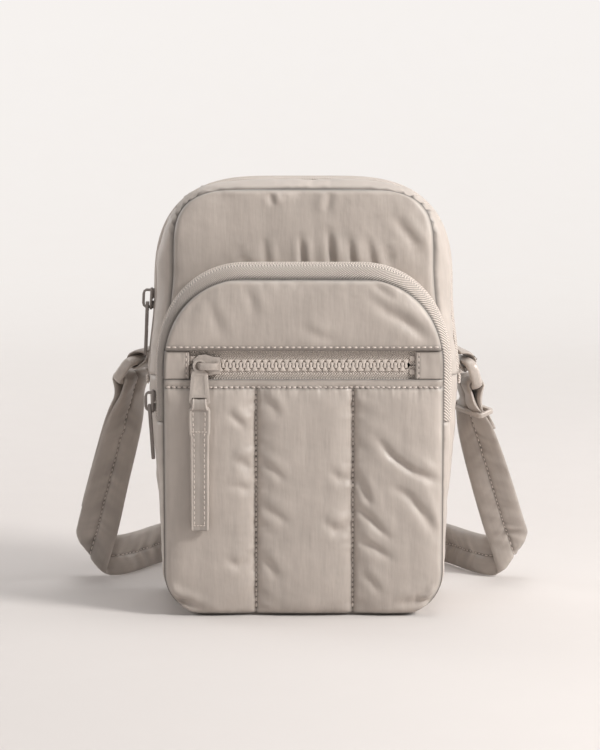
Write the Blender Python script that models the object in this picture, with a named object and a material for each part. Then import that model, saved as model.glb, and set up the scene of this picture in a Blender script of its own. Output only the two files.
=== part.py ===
# A small upright crossbody bag of padded nylon: a main compartment under a zip that arches over
# the top, a front pocket under a second arched zip, a moulded-tooth zip across the pocket's
# front, a quilted lower panel, and a flat shoulder strap on two rings.
# Metres, +X to the viewer's right, +Y to the back, +Z up. The origin is on the floor, under the
# front edge of the main gusset, on the bag's middle line.
import math

import bmesh
import bpy
import numpy as np
from mathutils import Matrix, Vector

# Clearances and walls shared by all the sewn pieces
SEAM_GAP = 0.0003
GUSSET_WALL = 0.0015
PANEL_WALL = 0.0024
TAPE_WALL = 0.0009
CUT_OVERRUN = 0.001
MITRE_LIMIT_SHARE = 0.6

# Depth plan, from the pocket's front seam to the back
MAIN_GUSSET_FRONT_Y = -0.0043
POCKET_DEPTH = 0.024
MAIN_DEPTH = 0.038
REAR_PANEL_WALL = 0.0028
MAIN_PANEL_REAR_Y = MAIN_GUSSET_FRONT_Y - SEAM_GAP
MAIN_PANEL_FRONT_Y = MAIN_PANEL_REAR_Y - PANEL_WALL
POCKET_GUSSET_REAR_Y = MAIN_PANEL_FRONT_Y - SEAM_GAP
POCKET_GUSSET_FRONT_Y = POCKET_GUSSET_REAR_Y - POCKET_DEPTH
POCKET_PANEL_REAR_Y = POCKET_GUSSET_FRONT_Y - SEAM_GAP
POCKET_FRONT_Y = POCKET_PANEL_REAR_Y - PANEL_WALL
MAIN_GUSSET_REAR_Y = MAIN_GUSSET_FRONT_Y + MAIN_DEPTH
REAR_PANEL_FRONT_Y = MAIN_GUSSET_REAR_Y + SEAM_GAP

# Upright outline of the main compartment at its seams: half widths at the base, the waist and
# the top, heights, and corner sizes
MAIN_BASE_HALF = 0.070
MAIN_WAIST_FLARE = 0.0015
MAIN_TOP_TAPER = 0.0038
MAIN_WAIST_HALF = MAIN_BASE_HALF + MAIN_WAIST_FLARE
MAIN_TOP_HALF = MAIN_BASE_HALF - MAIN_TOP_TAPER
MAIN_TOP_Z = 0.213
MAIN_WAIST_Z = 0.118
MAIN_SHOULDER_Z = 0.175
MAIN_LOW_CORNER = 0.022
MAIN_TOP_CORNER_WIDTH = 0.050
MAIN_TOP_CORNER_HEIGHT = 0.038
MAIN_CORNER_POWER = 3.8

# How far the main gusset swells past its seams, and the softer corner at its crest
SWELL_BASE = 0.0035
SWELL_WAIST = 0.0078
SWELL_SHOULDER = 0.0096
SWELL_TOP = 0.0049
SWELL_CORNER_WIDTH = 0.010
SWELL_CORNER_HEIGHT = 0.020
SWELL_SHOULDER_DROP = 0.0151
SWELL_CORNER_POWER_DROP = 1.0
SWELL_FLATNESS = 3.0
SWELL_POWER = 0.8

# Upright outline of the front pocket's panel, and the crest of its zip band behind it
POCKET_HALF = MAIN_BASE_HALF
POCKET_TOP_Z = 0.1695
POCKET_LOW_CORNER = 0.022
POCKET_ARCH_WIDTH = 0.042
POCKET_ARCH_HEIGHT = 0.045
POCKET_CORNER_POWER = 2.15
POCKET_WAIST_Z = 0.098
POCKET_CREST_BASE = 0.0010
POCKET_CREST_SIDE = 0.0035
POCKET_CREST_TOP = 0.0068
POCKET_CREST_RISE_SHARE = 0.55
POCKET_CREST_END_SHARE = 0.66
POCKET_BACK_SHARE = 0.3
PANEL_LIFT = 0.0006

# Where the arched zips end on the sides, and how the two depths are shared out
MAIN_ZIP_END_Z = 0.118
POCKET_ZIP_END_Z = 0.098
MAIN_STRIP_DEPTH = 0.0108
POCKET_BAND_DEPTH = 0.0098
POCKET_REAR_TAPE_DEPTH = 0.0036
BEAD_WIDTH = 0.0022
BEAD_RISE = 0.0008
BEAD_HALF_GAP = 0.00015
BEAD_SPREAD = 0.0012
SPREAD_REACH = 0.0125
TAPE_MIDDLE_SHARE = 0.5
END_BAR_DROP = 0.0010
END_BAR_HEIGHT = 0.0045
END_BAR_REACH = 0.0066
END_BAR_WALL = 0.0010

# Horizontal zip on the pocket: its window, tapes and moulded teeth
WINDOW_LOW_Z = 0.1195
WINDOW_TOP_Z = 0.1340
PATCH_LEFT_WIDTH = 0.0133
PATCH_RIGHT_WIDTH = 0.0143
WINDOW_LEFT_X = PATCH_LEFT_WIDTH - POCKET_HALF
WINDOW_RIGHT_X = POCKET_HALF - PATCH_RIGHT_WIDTH
CHAIN_Z = 0.1265
CHAIN_LEFT_MARGIN = 0.0097
CHAIN_RIGHT_MARGIN = 0.0037
CHAIN_LEFT_X = WINDOW_LEFT_X + CHAIN_LEFT_MARGIN
CHAIN_RIGHT_X = WINDOW_RIGHT_X - CHAIN_RIGHT_MARGIN
TAPE_SIDE_LAP = 0.0032
TAPE_HALF_HEIGHT = 0.0112
TAPE_EDGE_HALF_GAP = 0.0018
TOOTH_PITCH = 0.0035
TOOTH_THICKNESS = 0.0024
TOOTH_REACH = 0.0015
TOOTH_BASE = 0.0029
TOOTH_NECK_HALF = 0.00050
TOOTH_HEAD_HALF = 0.00078
TOOTH_HEAD_START = 0.0001
STOP_WIDTH = 0.0026
STOP_HEIGHT = 0.0030
STOP_INSET = 0.0016
STOP_EDGE_INSET = 0.0002

# Quilted lower panel: two stitched seams make three channels
QUILT_LEFT_SEAM_SHARE = 0.3386
QUILT_RIGHT_SEAM_SHARE = 0.3529
QUILT_LEFT_SEAM_X = -POCKET_HALF * QUILT_LEFT_SEAM_SHARE
QUILT_RIGHT_SEAM_X = POCKET_HALF * QUILT_RIGHT_SEAM_SHARE
QUILT_PUFF = 0.0034
UPPER_PUFF = 0.0016
MAIN_FRONT_PUFF = 0.0016
REAR_PUFF = 0.0012
PUFF_RISE_POWER = 0.4
PUFF_ACROSS_POWER = 0.7

# Pouch behind the horizontal zip
POUCH_SIDE_LAP = 0.0028
POUCH_LOW_Z = 0.060
POUCH_TOP_LAP = 0.0032
POUCH_DEPTH = 0.0082
POUCH_WALL = 0.0009

# Zip sliders: plates, flanges, the wedge that parts the chain, and the bail over the plate
SLIDER_LENGTH = 0.0135
SLIDER_MOUTH_WIDTH = 0.0104
SLIDER_TAIL_WIDTH = 0.0082
SLIDER_CREST_WIDTH = 0.0112
SLIDER_CREST_SHARE = 0.42
SLIDER_NOSE_SHARE = 0.55
SLIDER_SHOULDER_SHARE = 0.45
SLIDER_DRAW_IN_SHARES = (0.6, 0.85)
SLIDER_PLATE = 0.0013
SLIDER_CHANNEL = 0.0036
SLIDER_FLANGE = 0.0008
SLIDER_FLANGE_REACH = 0.0007
SLIDER_FLANGE_SHARE = 0.9
WEDGE_LENGTH = 0.0040
WEDGE_WIDTH = 0.0018
BAIL_LENGTH = 0.0100
FRONT_BAIL_RISE = 0.0052
MAIN_BAIL_RISE = 0.0041
POCKET_BAIL_RISE = 0.0036
BAIL_BAR = 0.0013
# The bail's outer and inner edges, each as (share of its half length, share of its rise)
BAIL_OUTER_SHARES = ((1.0, 0.55), (0.8, 0.88), (0.5, 1.0))
BAIL_INNER_FOOT_SHARE = 0.5
BAIL_INNER_SHOULDER_SHARES = (0.66, 1.1)
BAIL_INNER_CROWN_SHARE = 0.45
FRONT_BAIL_WIDTH = 0.0033
FRONT_BAIL_SHIFT = 0.0008
SIDE_SLIDER_SCALE_SHARE = 0.82
SIDE_BAIL_WIDTH = 0.0020

# Front puller plate and its fabric tab
EYE_INNER_RADIUS = 0.0022
EYE_OUTER_RADIUS = 0.0034
PULLER_TOP_WIDTH = 0.0083
PULLER_FOOT_WIDTH = 0.0104
PULLER_WALL = 0.0014
PULLER_LENGTH = 0.0196
PULLER_SLOT_WIDTH = 0.0076
PULLER_SLOT_HEIGHT = 0.0022
PULLER_FOOT_BAR = 0.0016
PULLER_RIM = 0.0015
PULLER_DISH = 0.0003
PULLER_DISH_SIDE_RIM = 0.0024
PULLER_DISH_TOP_RIM = 0.0021
PULLER_SHOULDER_SHARE = 0.8
PULLER_DISH_TAPER_SHARE = 0.8
PULLER_TILT = math.radians(10.0)
TAB_LAYER = 0.0010
TAB_WIDTH = 0.0072
TAB_LENGTH = 0.0635
TAB_SPREAD = 0.0030
TAB_SEWN_SHARE = 0.5
TAB_CLOSED_SHARE = 0.18
TAB_CHEEK_SHARE = 0.92
TAB_CHEEK_DROP_SHARE = 1.4
TAB_CORNER_SHARE = 0.7
TAB_LEAN_SHARE = 0.12
FRONT_SLIDER_LEAD = 0.0010
FRONT_SLIDER_X = CHAIN_LEFT_X - FRONT_SLIDER_LEAD

# Side puller plates
SIDE_PULLER_LENGTH = 0.0270
SIDE_PULLER_WIDTH = 0.0070
SIDE_PULLER_WALL = 0.0016
SIDE_EYE_WIDTH = 0.0034
SIDE_EYE_HEIGHT = 0.0036
SIDE_CROSSBAR = 0.0013
# The side puller's edge, each as (share of its length, share of its half width)
SIDE_PULLER_HEAD_SHARE = 0.8
SIDE_PULLER_EDGE_SHARES = ((0.3, 0.8), (0.45, 0.62), (0.9, 0.8), (1.0, 0.5))
MAIN_PULLER_TUCK = math.radians(3.6)
POCKET_PULLER_TUCK = math.radians(3.0)
MAIN_SLIDER_Z = 0.1557
POCKET_SLIDER_Z = 0.1070

# Strap: band, rings, sewn tabs, adjuster, and the put-away length behind the bag
STRAP_WIDTH = 0.022
STRAP_WALL = 0.0018
RING_LENGTH = 0.032
RING_HEIGHT = 0.017
RING_BAND = 0.0055
RING_BAR = 0.0034
RING_POWER = 4.5
RING_SECTION_POWER = 0.8
LOOP_CLEARANCE = 0.0003
TAB_STRAP_WIDTH = 0.020
TAB_STRAP_WALL = 0.0014
TAB_LOOP_CLEARANCE = 0.0006
TAB_ROOT_STANDOFF_SHARE = 1.4
LEFT_RING_OUT = 0.0153
RIGHT_RING_OUT = 0.0135
LEFT_RING_CENTRE = (-MAIN_WAIST_HALF - LEFT_RING_OUT, 0.0330, 0.1175)
LEFT_RING_TURN = math.radians(30.0)
LEFT_RING_LEAN = math.radians(38.0)
RIGHT_RING_CENTRE = (MAIN_WAIST_HALF + RIGHT_RING_OUT, 0.0330, 0.1155)
RIGHT_RING_TURN = math.radians(15.0)
RIGHT_RING_LEAN = math.radians(18.0)
TAB_ROOT_Y = 0.0282
TAB_ROOT_Z = 0.1275
TAB_ROOT_HALF = 0.0055
TAB_ROOT_SLANT = (0.45, 0.80, 0.40)
TAB_STEP_SHARES = (0.45, 0.75, 1.0)
TAB_CLOSING_POWER = 2.4
TAB_TWIST_POWER = 2.2
# Where the falls pass, each as (distance out from the waist, Y, Z), and how the band turns there
LEFT_FALL_KEYS = ((0.0215, 0.0378, 0.0960), (0.0247, 0.0410, 0.0830), (0.0335, 0.0495, 0.0500),
                  (0.0387, 0.0600, 0.0290))
LEFT_FALL_TURNS = ((0.72, 0.69, 0.0), (0.87, 0.49, 0.0), (0.91, 0.34, -0.20), (0.957, 0.1, -0.27))
RIGHT_FALL_KEYS = ((0.0170, 0.0355, 0.0940), (0.0210, 0.0385, 0.0800), (0.0290, 0.0470, 0.0530),
                   (0.0365, 0.0600, 0.0290))
RIGHT_FALL_TURNS = ((-0.62, 0.78, 0.0), (-0.88, 0.47, 0.0), (-0.95, 0.22, -0.18),
                    (-0.957, 0.05, -0.28))
FOLD_Y = 0.0665
LEFT_FOLD_OUT = 0.0431
RIGHT_FOLD_OUT = 0.0415
# The way back along the floor from the folds, each as (distance out from the waist, Y)
LEAD_KEYS = ((0.0250, 0.0725), (0.0180, 0.0850), (0.0120, 0.0980), (0.0060, 0.1090))
FOLD_RADIUS = 0.0022
FOLD_REACH = 0.0140
FALL_LEAN = math.radians(17.0)
LOOP_CLOSING = 1.7
FALL_START_DOWN_SHARE = 0.4
FALL_START_DROP_SHARE = 1.6
LEFT_DOUBLED = 0.078
RIGHT_DOUBLED = 0.026
STACK_RUNS = 7
STACK_END_GAP = 0.0255
STACK_PITCH = 0.008
STACK_REAR_Y = 0.1120
STACK_TURN_ANGLES = (math.pi / 4, math.pi / 2, math.pi * 3 / 4)
# How the stack's two ends bend, each as (share of the pitch, share of the turn's radius)
STACK_ENTRY_SHARES = ((0.5, 0.9), (1.3, 1.1))
STACK_CORNER_SHARES = ((-0.3, 0.3), (0.0, 1.3))
STACK_EXIT_SHARES = ((0.3, 0.5), (0.7, 1.0))
STACK_TIP_SHARES = (0.4, 0.7)
FLOOR_CLEARANCE = 0.0004
ADJUSTER_WIDTH = 0.0268
ADJUSTER_HEIGHT = 0.0096
ADJUSTER_CHEEK = 0.0024
ADJUSTER_BAR = 0.0019
ADJUSTER_DROP = 0.0120
ADJUSTER_CORNER_SHARE = 0.6

# Step counts along the outlines
FLOOR_STEPS = 3
CORNER_STEPS = 6
LOW_SIDE_STEPS = 5
HIGH_SIDE_STEPS = 5
CHAIN_SIDE_STEPS = 22
TOP_CORNER_STEPS = 8
TOP_STEPS = 3
CHANNEL_STEPS = 6
PANEL_COLUMNS = 8
RING_STEPS = 26
RING_SECTION_STEPS = 10
LOOP_STEPS = 7
STRAP_COLUMNS = 4
FOLD_ROWS = 13
FALL_STEPS = 4
LEAD_STEPS = 3
GUSSET_STEPS = 6
STRIP_STEPS = 3
BAND_STEPS = 4
REAR_STRIP_STEPS = 2
END_BAR_DEPTH_STEPS = 3
END_BAR_STEPS = 2
PATCH_STEPS = 3
EYE_STEPS = 24
BORE_STEPS = 20
SHARP_ANGLE = math.radians(40.0)

# Plain colours, roughness and metallic value of each material
NYLON = ("nylon", (0.46, 0.385, 0.34), 0.62, 0.0)
NYLON_SHADE = ("nylon_gusset", (0.45, 0.375, 0.33), 0.65, 0.0)
LINING = ("lining", (0.36, 0.31, 0.28), 0.75, 0.0)
ZIP_TAPE = ("zip_tape", (0.42, 0.35, 0.31), 0.8, 0.0)
MOULDED_TEETH = ("moulded_teeth", (0.50, 0.42, 0.37), 0.42, 0.0)
COIL_TAPE = ("coil_tape", (0.44, 0.37, 0.33), 0.7, 0.0)
CAST_SLIDER = ("cast_slider", (0.40, 0.33, 0.29), 0.38, 0.6)
DARK_SLIDER = ("dark_slider", (0.24, 0.21, 0.19), 0.38, 0.8)
RING_COAT = ("ring_coat", (0.42, 0.35, 0.31), 0.40, 0.0)
WEBBING = ("strap_nylon", (0.40, 0.33, 0.29), 0.68, 0.0)

MATERIALS = {}


def material(finish):
    """Return the named Principled material, made on first use."""
    name, colour, roughness, metallic = finish
    if name not in MATERIALS:
        made = bpy.data.materials.new(name)
        made.use_nodes = True
        shader = made.node_tree.nodes["Principled BSDF"]
        shader.inputs["Base Color"].default_value = (*colour, 1.0)
        shader.inputs["Roughness"].default_value = roughness
        shader.inputs["Metallic"].default_value = metallic
        MATERIALS[name] = made
    return MATERIALS[name]


def solid(name, points, faces, finish, smooth=True):
    """Make one closed mesh object in world space, with its faces turned outwards."""
    mesh = bpy.data.meshes.new(name)
    mesh.from_pydata([tuple(point) for point in points], [], faces)
    work = bmesh.new()
    work.from_mesh(mesh)
    bmesh.ops.recalc_face_normals(work, faces=work.faces)
    work.to_mesh(mesh)
    work.free()
    mesh.materials.append(material(finish))
    if smooth:
        mesh.shade_smooth()
        mesh.set_sharp_from_angle(angle=SHARP_ANGLE)
    thing = bpy.data.objects.new(name, mesh)
    bpy.context.scene.collection.objects.link(thing)
    return thing


def prism(name, outline, low, high, finish, place=Matrix.Identity(4), smooth=False):
    """Extrude a plane outline along its own Z from low to high, then place it."""
    count = len(outline)
    points = [place @ Vector((x, y, low)) for x, y in outline]
    points += [place @ Vector((x, y, high)) for x, y in outline]
    faces = [tuple(range(count)), tuple(range(count, 2 * count))]
    faces += [(i, (i + 1) % count, count + (i + 1) % count, count + i) for i in range(count)]
    return solid(name, points, faces, finish, smooth)


def combine(base, others, operation):
    """Join closed solids to a base, or cut them from it, and keep the others as guides."""
    for other in others:
        modifier = base.modifiers.new(f"{operation} {other.name}", "BOOLEAN")
        modifier.operation = operation
        modifier.solver = "EXACT"
        modifier.object = other
        other.hide_render = True
        other.display_type = "WIRE"
    return base


def set_origin(thing, pivot):
    """Move a solid's origin to its joint's axis and leave its shape where it is."""
    shift = Vector(pivot)
    thing.data.transform(Matrix.Translation(-shift))
    thing.location = shift


def ease(share):
    """Smooth step from 0 to 1."""
    share = min(max(share, 0.0), 1.0)
    return share * share * (3.0 - 2.0 * share)


def mix(low, high, share):
    """Value a share of the way from low to high."""
    return low + (high - low) * share


def quarter(width, height, power, steps):
    """Points of a quarter superellipse, from (width, 0) to (0, height)."""
    angles = [math.pi / 2 * i / steps for i in range(steps + 1)]
    return [
        (width * max(math.cos(a), 0.0) ** (2 / power), height * math.sin(a) ** (2 / power))
        for a in angles
    ]


class Outline:
    """The bag's upright outline at one depth, centred on X = 0 and standing on low_z."""

    def __init__(self, base, waist, top, low_z, top_z, low_corner, arch_width, arch_height,
                 power, waist_z, shoulder_z):
        self.base, self.waist, self.top = base, waist, top
        self.low_z, self.top_z, self.low_corner = low_z, top_z, low_corner
        self.arch_width, self.arch_height, self.power = arch_width, arch_height, power
        self.waist_z, self.shoulder_z = waist_z, shoulder_z

    def towards(self, other, share):
        """The outline a share of the way to another one."""
        ours, theirs = vars(self), vars(other)
        return Outline(**{name: mix(ours[name], theirs[name], share) for name in ours})

    def half(self, z):
        """Half width of the side at a height between the two corners."""
        if z < self.waist_z:
            start = self.low_z + self.low_corner
            return mix(self.base, self.waist, ease((z - start) / (self.waist_z - start)))
        rise = (z - self.waist_z) / (self.shoulder_z - self.waist_z)
        return mix(self.waist, self.top, ease(rise))

    def side(self, low, high, steps):
        """Points up the right side between two heights."""
        heights = [mix(low, high, i / steps) for i in range(steps + 1)]
        return [(self.half(z), z) for z in heights]

    def floor_and_corner(self):
        """Points from the bottom centre to the top of the low corner."""
        flat = self.base - self.low_corner
        floor = [(flat * i / FLOOR_STEPS, self.low_z) for i in range(FLOOR_STEPS)]
        curve = quarter(self.low_corner, self.low_corner, 2.0, CORNER_STEPS)
        corner = [(flat + x, self.low_z + self.low_corner - z) for x, z in curve]
        return floor + corner[::-1]

    def arch(self):
        """Points from the foot of the top corner to the top centre."""
        flat = self.top - self.arch_width
        foot = self.top_z - self.arch_height
        curve = quarter(self.arch_width, self.arch_height, self.power, TOP_CORNER_STEPS)
        corner = [(flat + x, foot + z) for x, z in curve]
        top = [(flat * (1 - i / TOP_STEPS), self.top_z) for i in range(1, TOP_STEPS + 1)]
        return corner + top

    def lower(self, split_z):
        """The open outline below a height, from the left end round the bottom to the right."""
        start = self.low_z + self.low_corner
        right = self.floor_and_corner() + self.side(start, split_z, LOW_SIDE_STEPS)[1:]
        left = [(-x, z) for x, z in right[1:]]
        return left[::-1] + right

    def upper(self, split_z, steps=HIGH_SIDE_STEPS):
        """The open outline above a height, from the right end over the top to the left."""
        foot = self.top_z - self.arch_height
        right = self.side(split_z, foot, steps)[:-1] + self.arch()
        left = [(-x, z) for x, z in right[:-1]]
        return right + left[::-1]

    def rows(self):
        """Half width and height of each row of a panel of this outline, bottom to top."""
        foot = self.top_z - self.arch_height
        sides = self.side(self.low_z + self.low_corner, foot, LOW_SIDE_STEPS + HIGH_SIDE_STEPS)
        return self.floor_and_corner()[FLOOR_STEPS:] + sides[1:-1] + self.arch()[:-TOP_STEPS]

    def reach(self, z):
        """Half width at any height, corners included."""
        rows = self.rows()
        return float(np.interp(z, [row[1] for row in rows], [row[0] for row in rows]))


def inset(points, distance):
    """Move an anticlockwise open outline inwards by a distance."""
    path = np.array(points)
    steps = np.diff(path, axis=0)
    steps /= np.linalg.norm(steps, axis=1)[:, None]
    tangents = np.vstack([steps[:1], steps[:-1] + steps[1:], steps[-1:]])
    tangents /= np.linalg.norm(tangents, axis=1)[:, None]
    # The last factor keeps the wall even where the outline turns.
    turn = np.ones(len(path))
    turn[1:-1] = np.clip(np.sum(tangents[1:-1] * steps[1:], axis=1), MITRE_LIMIT_SHARE, 1.0)
    inward = np.stack([-tangents[:, 1], tangents[:, 0]], axis=1)
    return path + inward * (distance / turn)[:, None]


def closed_grid(name, outer, inner, finish):
    """Close two grids of points, an outer and an inner skin, into one solid."""
    rows, columns = len(outer), len(outer[0])
    points = [p for row in outer for p in row] + [p for row in inner for p in row]

    def index(layer, row, column):
        return (layer * rows + row) * columns + column

    faces = []
    for row in range(rows - 1):
        for column in range(columns - 1):
            for layer in range(2):
                faces.append((index(layer, row, column), index(layer, row, column + 1),
                              index(layer, row + 1, column + 1), index(layer, row + 1, column)))
        for column in (0, columns - 1):
            faces.append((index(0, row, column), index(0, row + 1, column),
                          index(1, row + 1, column), index(1, row, column)))
    for column in range(columns - 1):
        for row in (0, rows - 1):
            faces.append((index(0, row, column), index(0, row, column + 1),
                          index(1, row, column + 1), index(1, row, column)))
    return solid(name, points, faces, finish)


def shell(name, stations, wall, finish):
    """A sewn strip: outlines at several depths make the outer skin, a wall inside the inner."""
    outer = [[(x, y, z) for x, z in outline] for y, outline in stations]
    inner = [[(x, y, z) for x, z in inset(outline, wall)] for y, outline in stations]
    return closed_grid(name, outer, inner, finish)


def panel(name, rows, seam_y, wall, puff, finish, seams=(), facing=-1, puff_low_z=0.0):
    """A padded panel: rows of (left, right, z), swelling between its edges and its seams."""
    low, high = max(rows[0][2], puff_low_z), rows[-1][2]
    outer, inner = [], []
    for left, right, z in rows:
        edges = [left, *seams, right]
        steps = CHANNEL_STEPS if seams else PANEL_COLUMNS
        rise = 0.0
        if low < z < high:
            rise = math.sin(math.pi * (z - low) / (high - low)) ** PUFF_RISE_POWER
        skin, back = [], []
        for start, end in zip(edges, edges[1:]):
            for i in range(steps if end < right else steps + 1):
                share = i / steps
                across = math.sin(math.pi * share) ** PUFF_ACROSS_POWER if 0 < share < 1 else 0.0
                x = mix(start, end, share)
                skin.append((x, seam_y + facing * puff * rise * across, z))
                back.append((x, seam_y - facing * wall, z))
        outer.append(skin)
        inner.append(back)
    return closed_grid(name, outer, inner, finish)


def swell_share(y):
    """How much of the main gusset's swell is reached at a depth."""
    off_centre = abs(2.0 * (y - MAIN_GUSSET_FRONT_Y) / MAIN_DEPTH - 1.0)
    return max(0.0, 1.0 - off_centre ** SWELL_FLATNESS) ** SWELL_POWER


MAIN_SEAM = Outline(MAIN_BASE_HALF, MAIN_WAIST_HALF, MAIN_TOP_HALF, 0.0, MAIN_TOP_Z,
                    MAIN_LOW_CORNER, MAIN_TOP_CORNER_WIDTH, MAIN_TOP_CORNER_HEIGHT,
                    MAIN_CORNER_POWER, MAIN_WAIST_Z, MAIN_SHOULDER_Z)
MAIN_CREST = Outline(MAIN_BASE_HALF + SWELL_BASE, MAIN_WAIST_HALF + SWELL_WAIST,
                     MAIN_TOP_HALF + SWELL_SHOULDER, 0.0, MAIN_TOP_Z + SWELL_TOP,
                     MAIN_LOW_CORNER + SWELL_BASE, MAIN_TOP_CORNER_WIDTH + SWELL_CORNER_WIDTH,
                     MAIN_TOP_CORNER_HEIGHT + SWELL_CORNER_HEIGHT,
                     MAIN_CORNER_POWER - SWELL_CORNER_POWER_DROP, MAIN_WAIST_Z,
                     MAIN_SHOULDER_Z - SWELL_SHOULDER_DROP)
POCKET_SEAM = Outline(POCKET_HALF, POCKET_HALF, POCKET_HALF, 0.0, POCKET_TOP_Z,
                      POCKET_LOW_CORNER, POCKET_ARCH_WIDTH, POCKET_ARCH_HEIGHT,
                      POCKET_CORNER_POWER, POCKET_WAIST_Z, POCKET_TOP_Z - POCKET_ARCH_HEIGHT)
POCKET_CREST = Outline(POCKET_HALF + POCKET_CREST_BASE, POCKET_HALF + POCKET_CREST_SIDE,
                       POCKET_HALF + POCKET_CREST_SIDE, 0.0, POCKET_TOP_Z + POCKET_CREST_TOP,
                       POCKET_LOW_CORNER + POCKET_CREST_BASE,
                       POCKET_ARCH_WIDTH + POCKET_CREST_SIDE,
                       POCKET_ARCH_HEIGHT + POCKET_CREST_TOP, POCKET_CORNER_POWER,
                       POCKET_WAIST_Z, POCKET_TOP_Z - POCKET_ARCH_HEIGHT)
POCKET_BACK = POCKET_SEAM.towards(POCKET_CREST, POCKET_BACK_SHARE)
POCKET_BACK.top_z, POCKET_BACK.arch_height = POCKET_CREST.top_z, POCKET_CREST.arch_height


def main_outline(y):
    """Outline of the main gusset's outer skin at a depth."""
    return MAIN_SEAM.towards(MAIN_CREST, swell_share(y))


def pocket_outline(y):
    """Outline of the pocket gusset's outer skin at a depth."""
    risen_y = POCKET_GUSSET_FRONT_Y + POCKET_BAND_DEPTH * POCKET_CREST_RISE_SHARE
    crest_end_y = POCKET_GUSSET_FRONT_Y + POCKET_DEPTH * POCKET_CREST_END_SHARE
    if y < risen_y:
        share = (y - POCKET_GUSSET_FRONT_Y) / (risen_y - POCKET_GUSSET_FRONT_Y)
        return POCKET_SEAM.towards(POCKET_CREST, math.sin(math.pi / 2 * share))
    if y < crest_end_y:
        return POCKET_CREST
    share = (y - crest_end_y) / (POCKET_GUSSET_REAR_Y - crest_end_y)
    return POCKET_CREST.towards(POCKET_BACK, ease(share))


def depths(start, end, steps):
    """Evenly spaced depths."""
    return [mix(start, end, i / steps) for i in range(steps + 1)]


def coil_half(name, outline_at, start, end, split_z, slider_z, finish):
    """One side of an arched coil zip: tape from start to a bead at end, parted at the slider."""
    towards_gap = 1 if end > start else -1
    bead_start = end - towards_gap * BEAD_WIDTH
    ys = [start, mix(start, bead_start, TAPE_MIDDLE_SHARE), bead_start, bead_start, end, end]
    lifts = [0.0, 0.0, 0.0, BEAD_RISE, BEAD_RISE, 0.0]
    stations = []
    outline = outline_at(end).upper(split_z, CHAIN_SIDE_STEPS)
    middle = outline_at(mix(start, end, TAPE_MIDDLE_SHARE)).upper(split_z, CHAIN_SIDE_STEPS)
    # The left side is the last stretch of the outline, and the slider sits there.
    side = [x < 0 and abs(z - slider_z) < SPREAD_REACH for x, z in outline]
    spread = [
        BEAD_SPREAD * math.cos(math.pi / 2 * (z - slider_z) / SPREAD_REACH) ** 2 if near else 0.0
        for near, (x, z) in zip(side, outline)
    ]
    top = [inset(outline, -lift) for lift in lifts]
    outer, inner = [], []
    for y, skin in zip(ys, top):
        moved = 0.0 if y == start else 1.0
        outer.append([(x, y - towards_gap * moved * s, z) for (x, z), s in zip(skin, spread)])
    base = inset(outline, TAPE_WALL)
    for y in (start, end):
        moved = 0.0 if y == start else 1.0
        inner.append([(x, y - towards_gap * moved * s, z) for (x, z), s in zip(base, spread)])
    # The tape's free edge follows the neighbouring strip's own outline.
    foot = outline_at(start).upper(split_z, CHAIN_SIDE_STEPS)
    outer[0] = [(x, start, z) for x, z in foot]
    inner[0] = [(x, start, z) for x, z in inset(foot, TAPE_WALL)]
    outer[1] = [(x, ys[1] - towards_gap * TAPE_MIDDLE_SHARE * s, z)
                for (x, z), s in zip(middle, spread)]
    section = outer + inner[::-1]
    rows, columns = len(section), len(outline)
    points = [p for row in section for p in row]
    faces = []
    for row in range(rows):
        after = (row + 1) % rows
        for column in range(columns - 1):
            faces.append((row * columns + column, row * columns + column + 1,
                          after * columns + column + 1, after * columns + column))
    faces.append(tuple(row * columns for row in range(rows)))
    faces.append(tuple(row * columns + columns - 1 for row in range(rows)))
    return solid(name, points, faces, finish)


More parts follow.
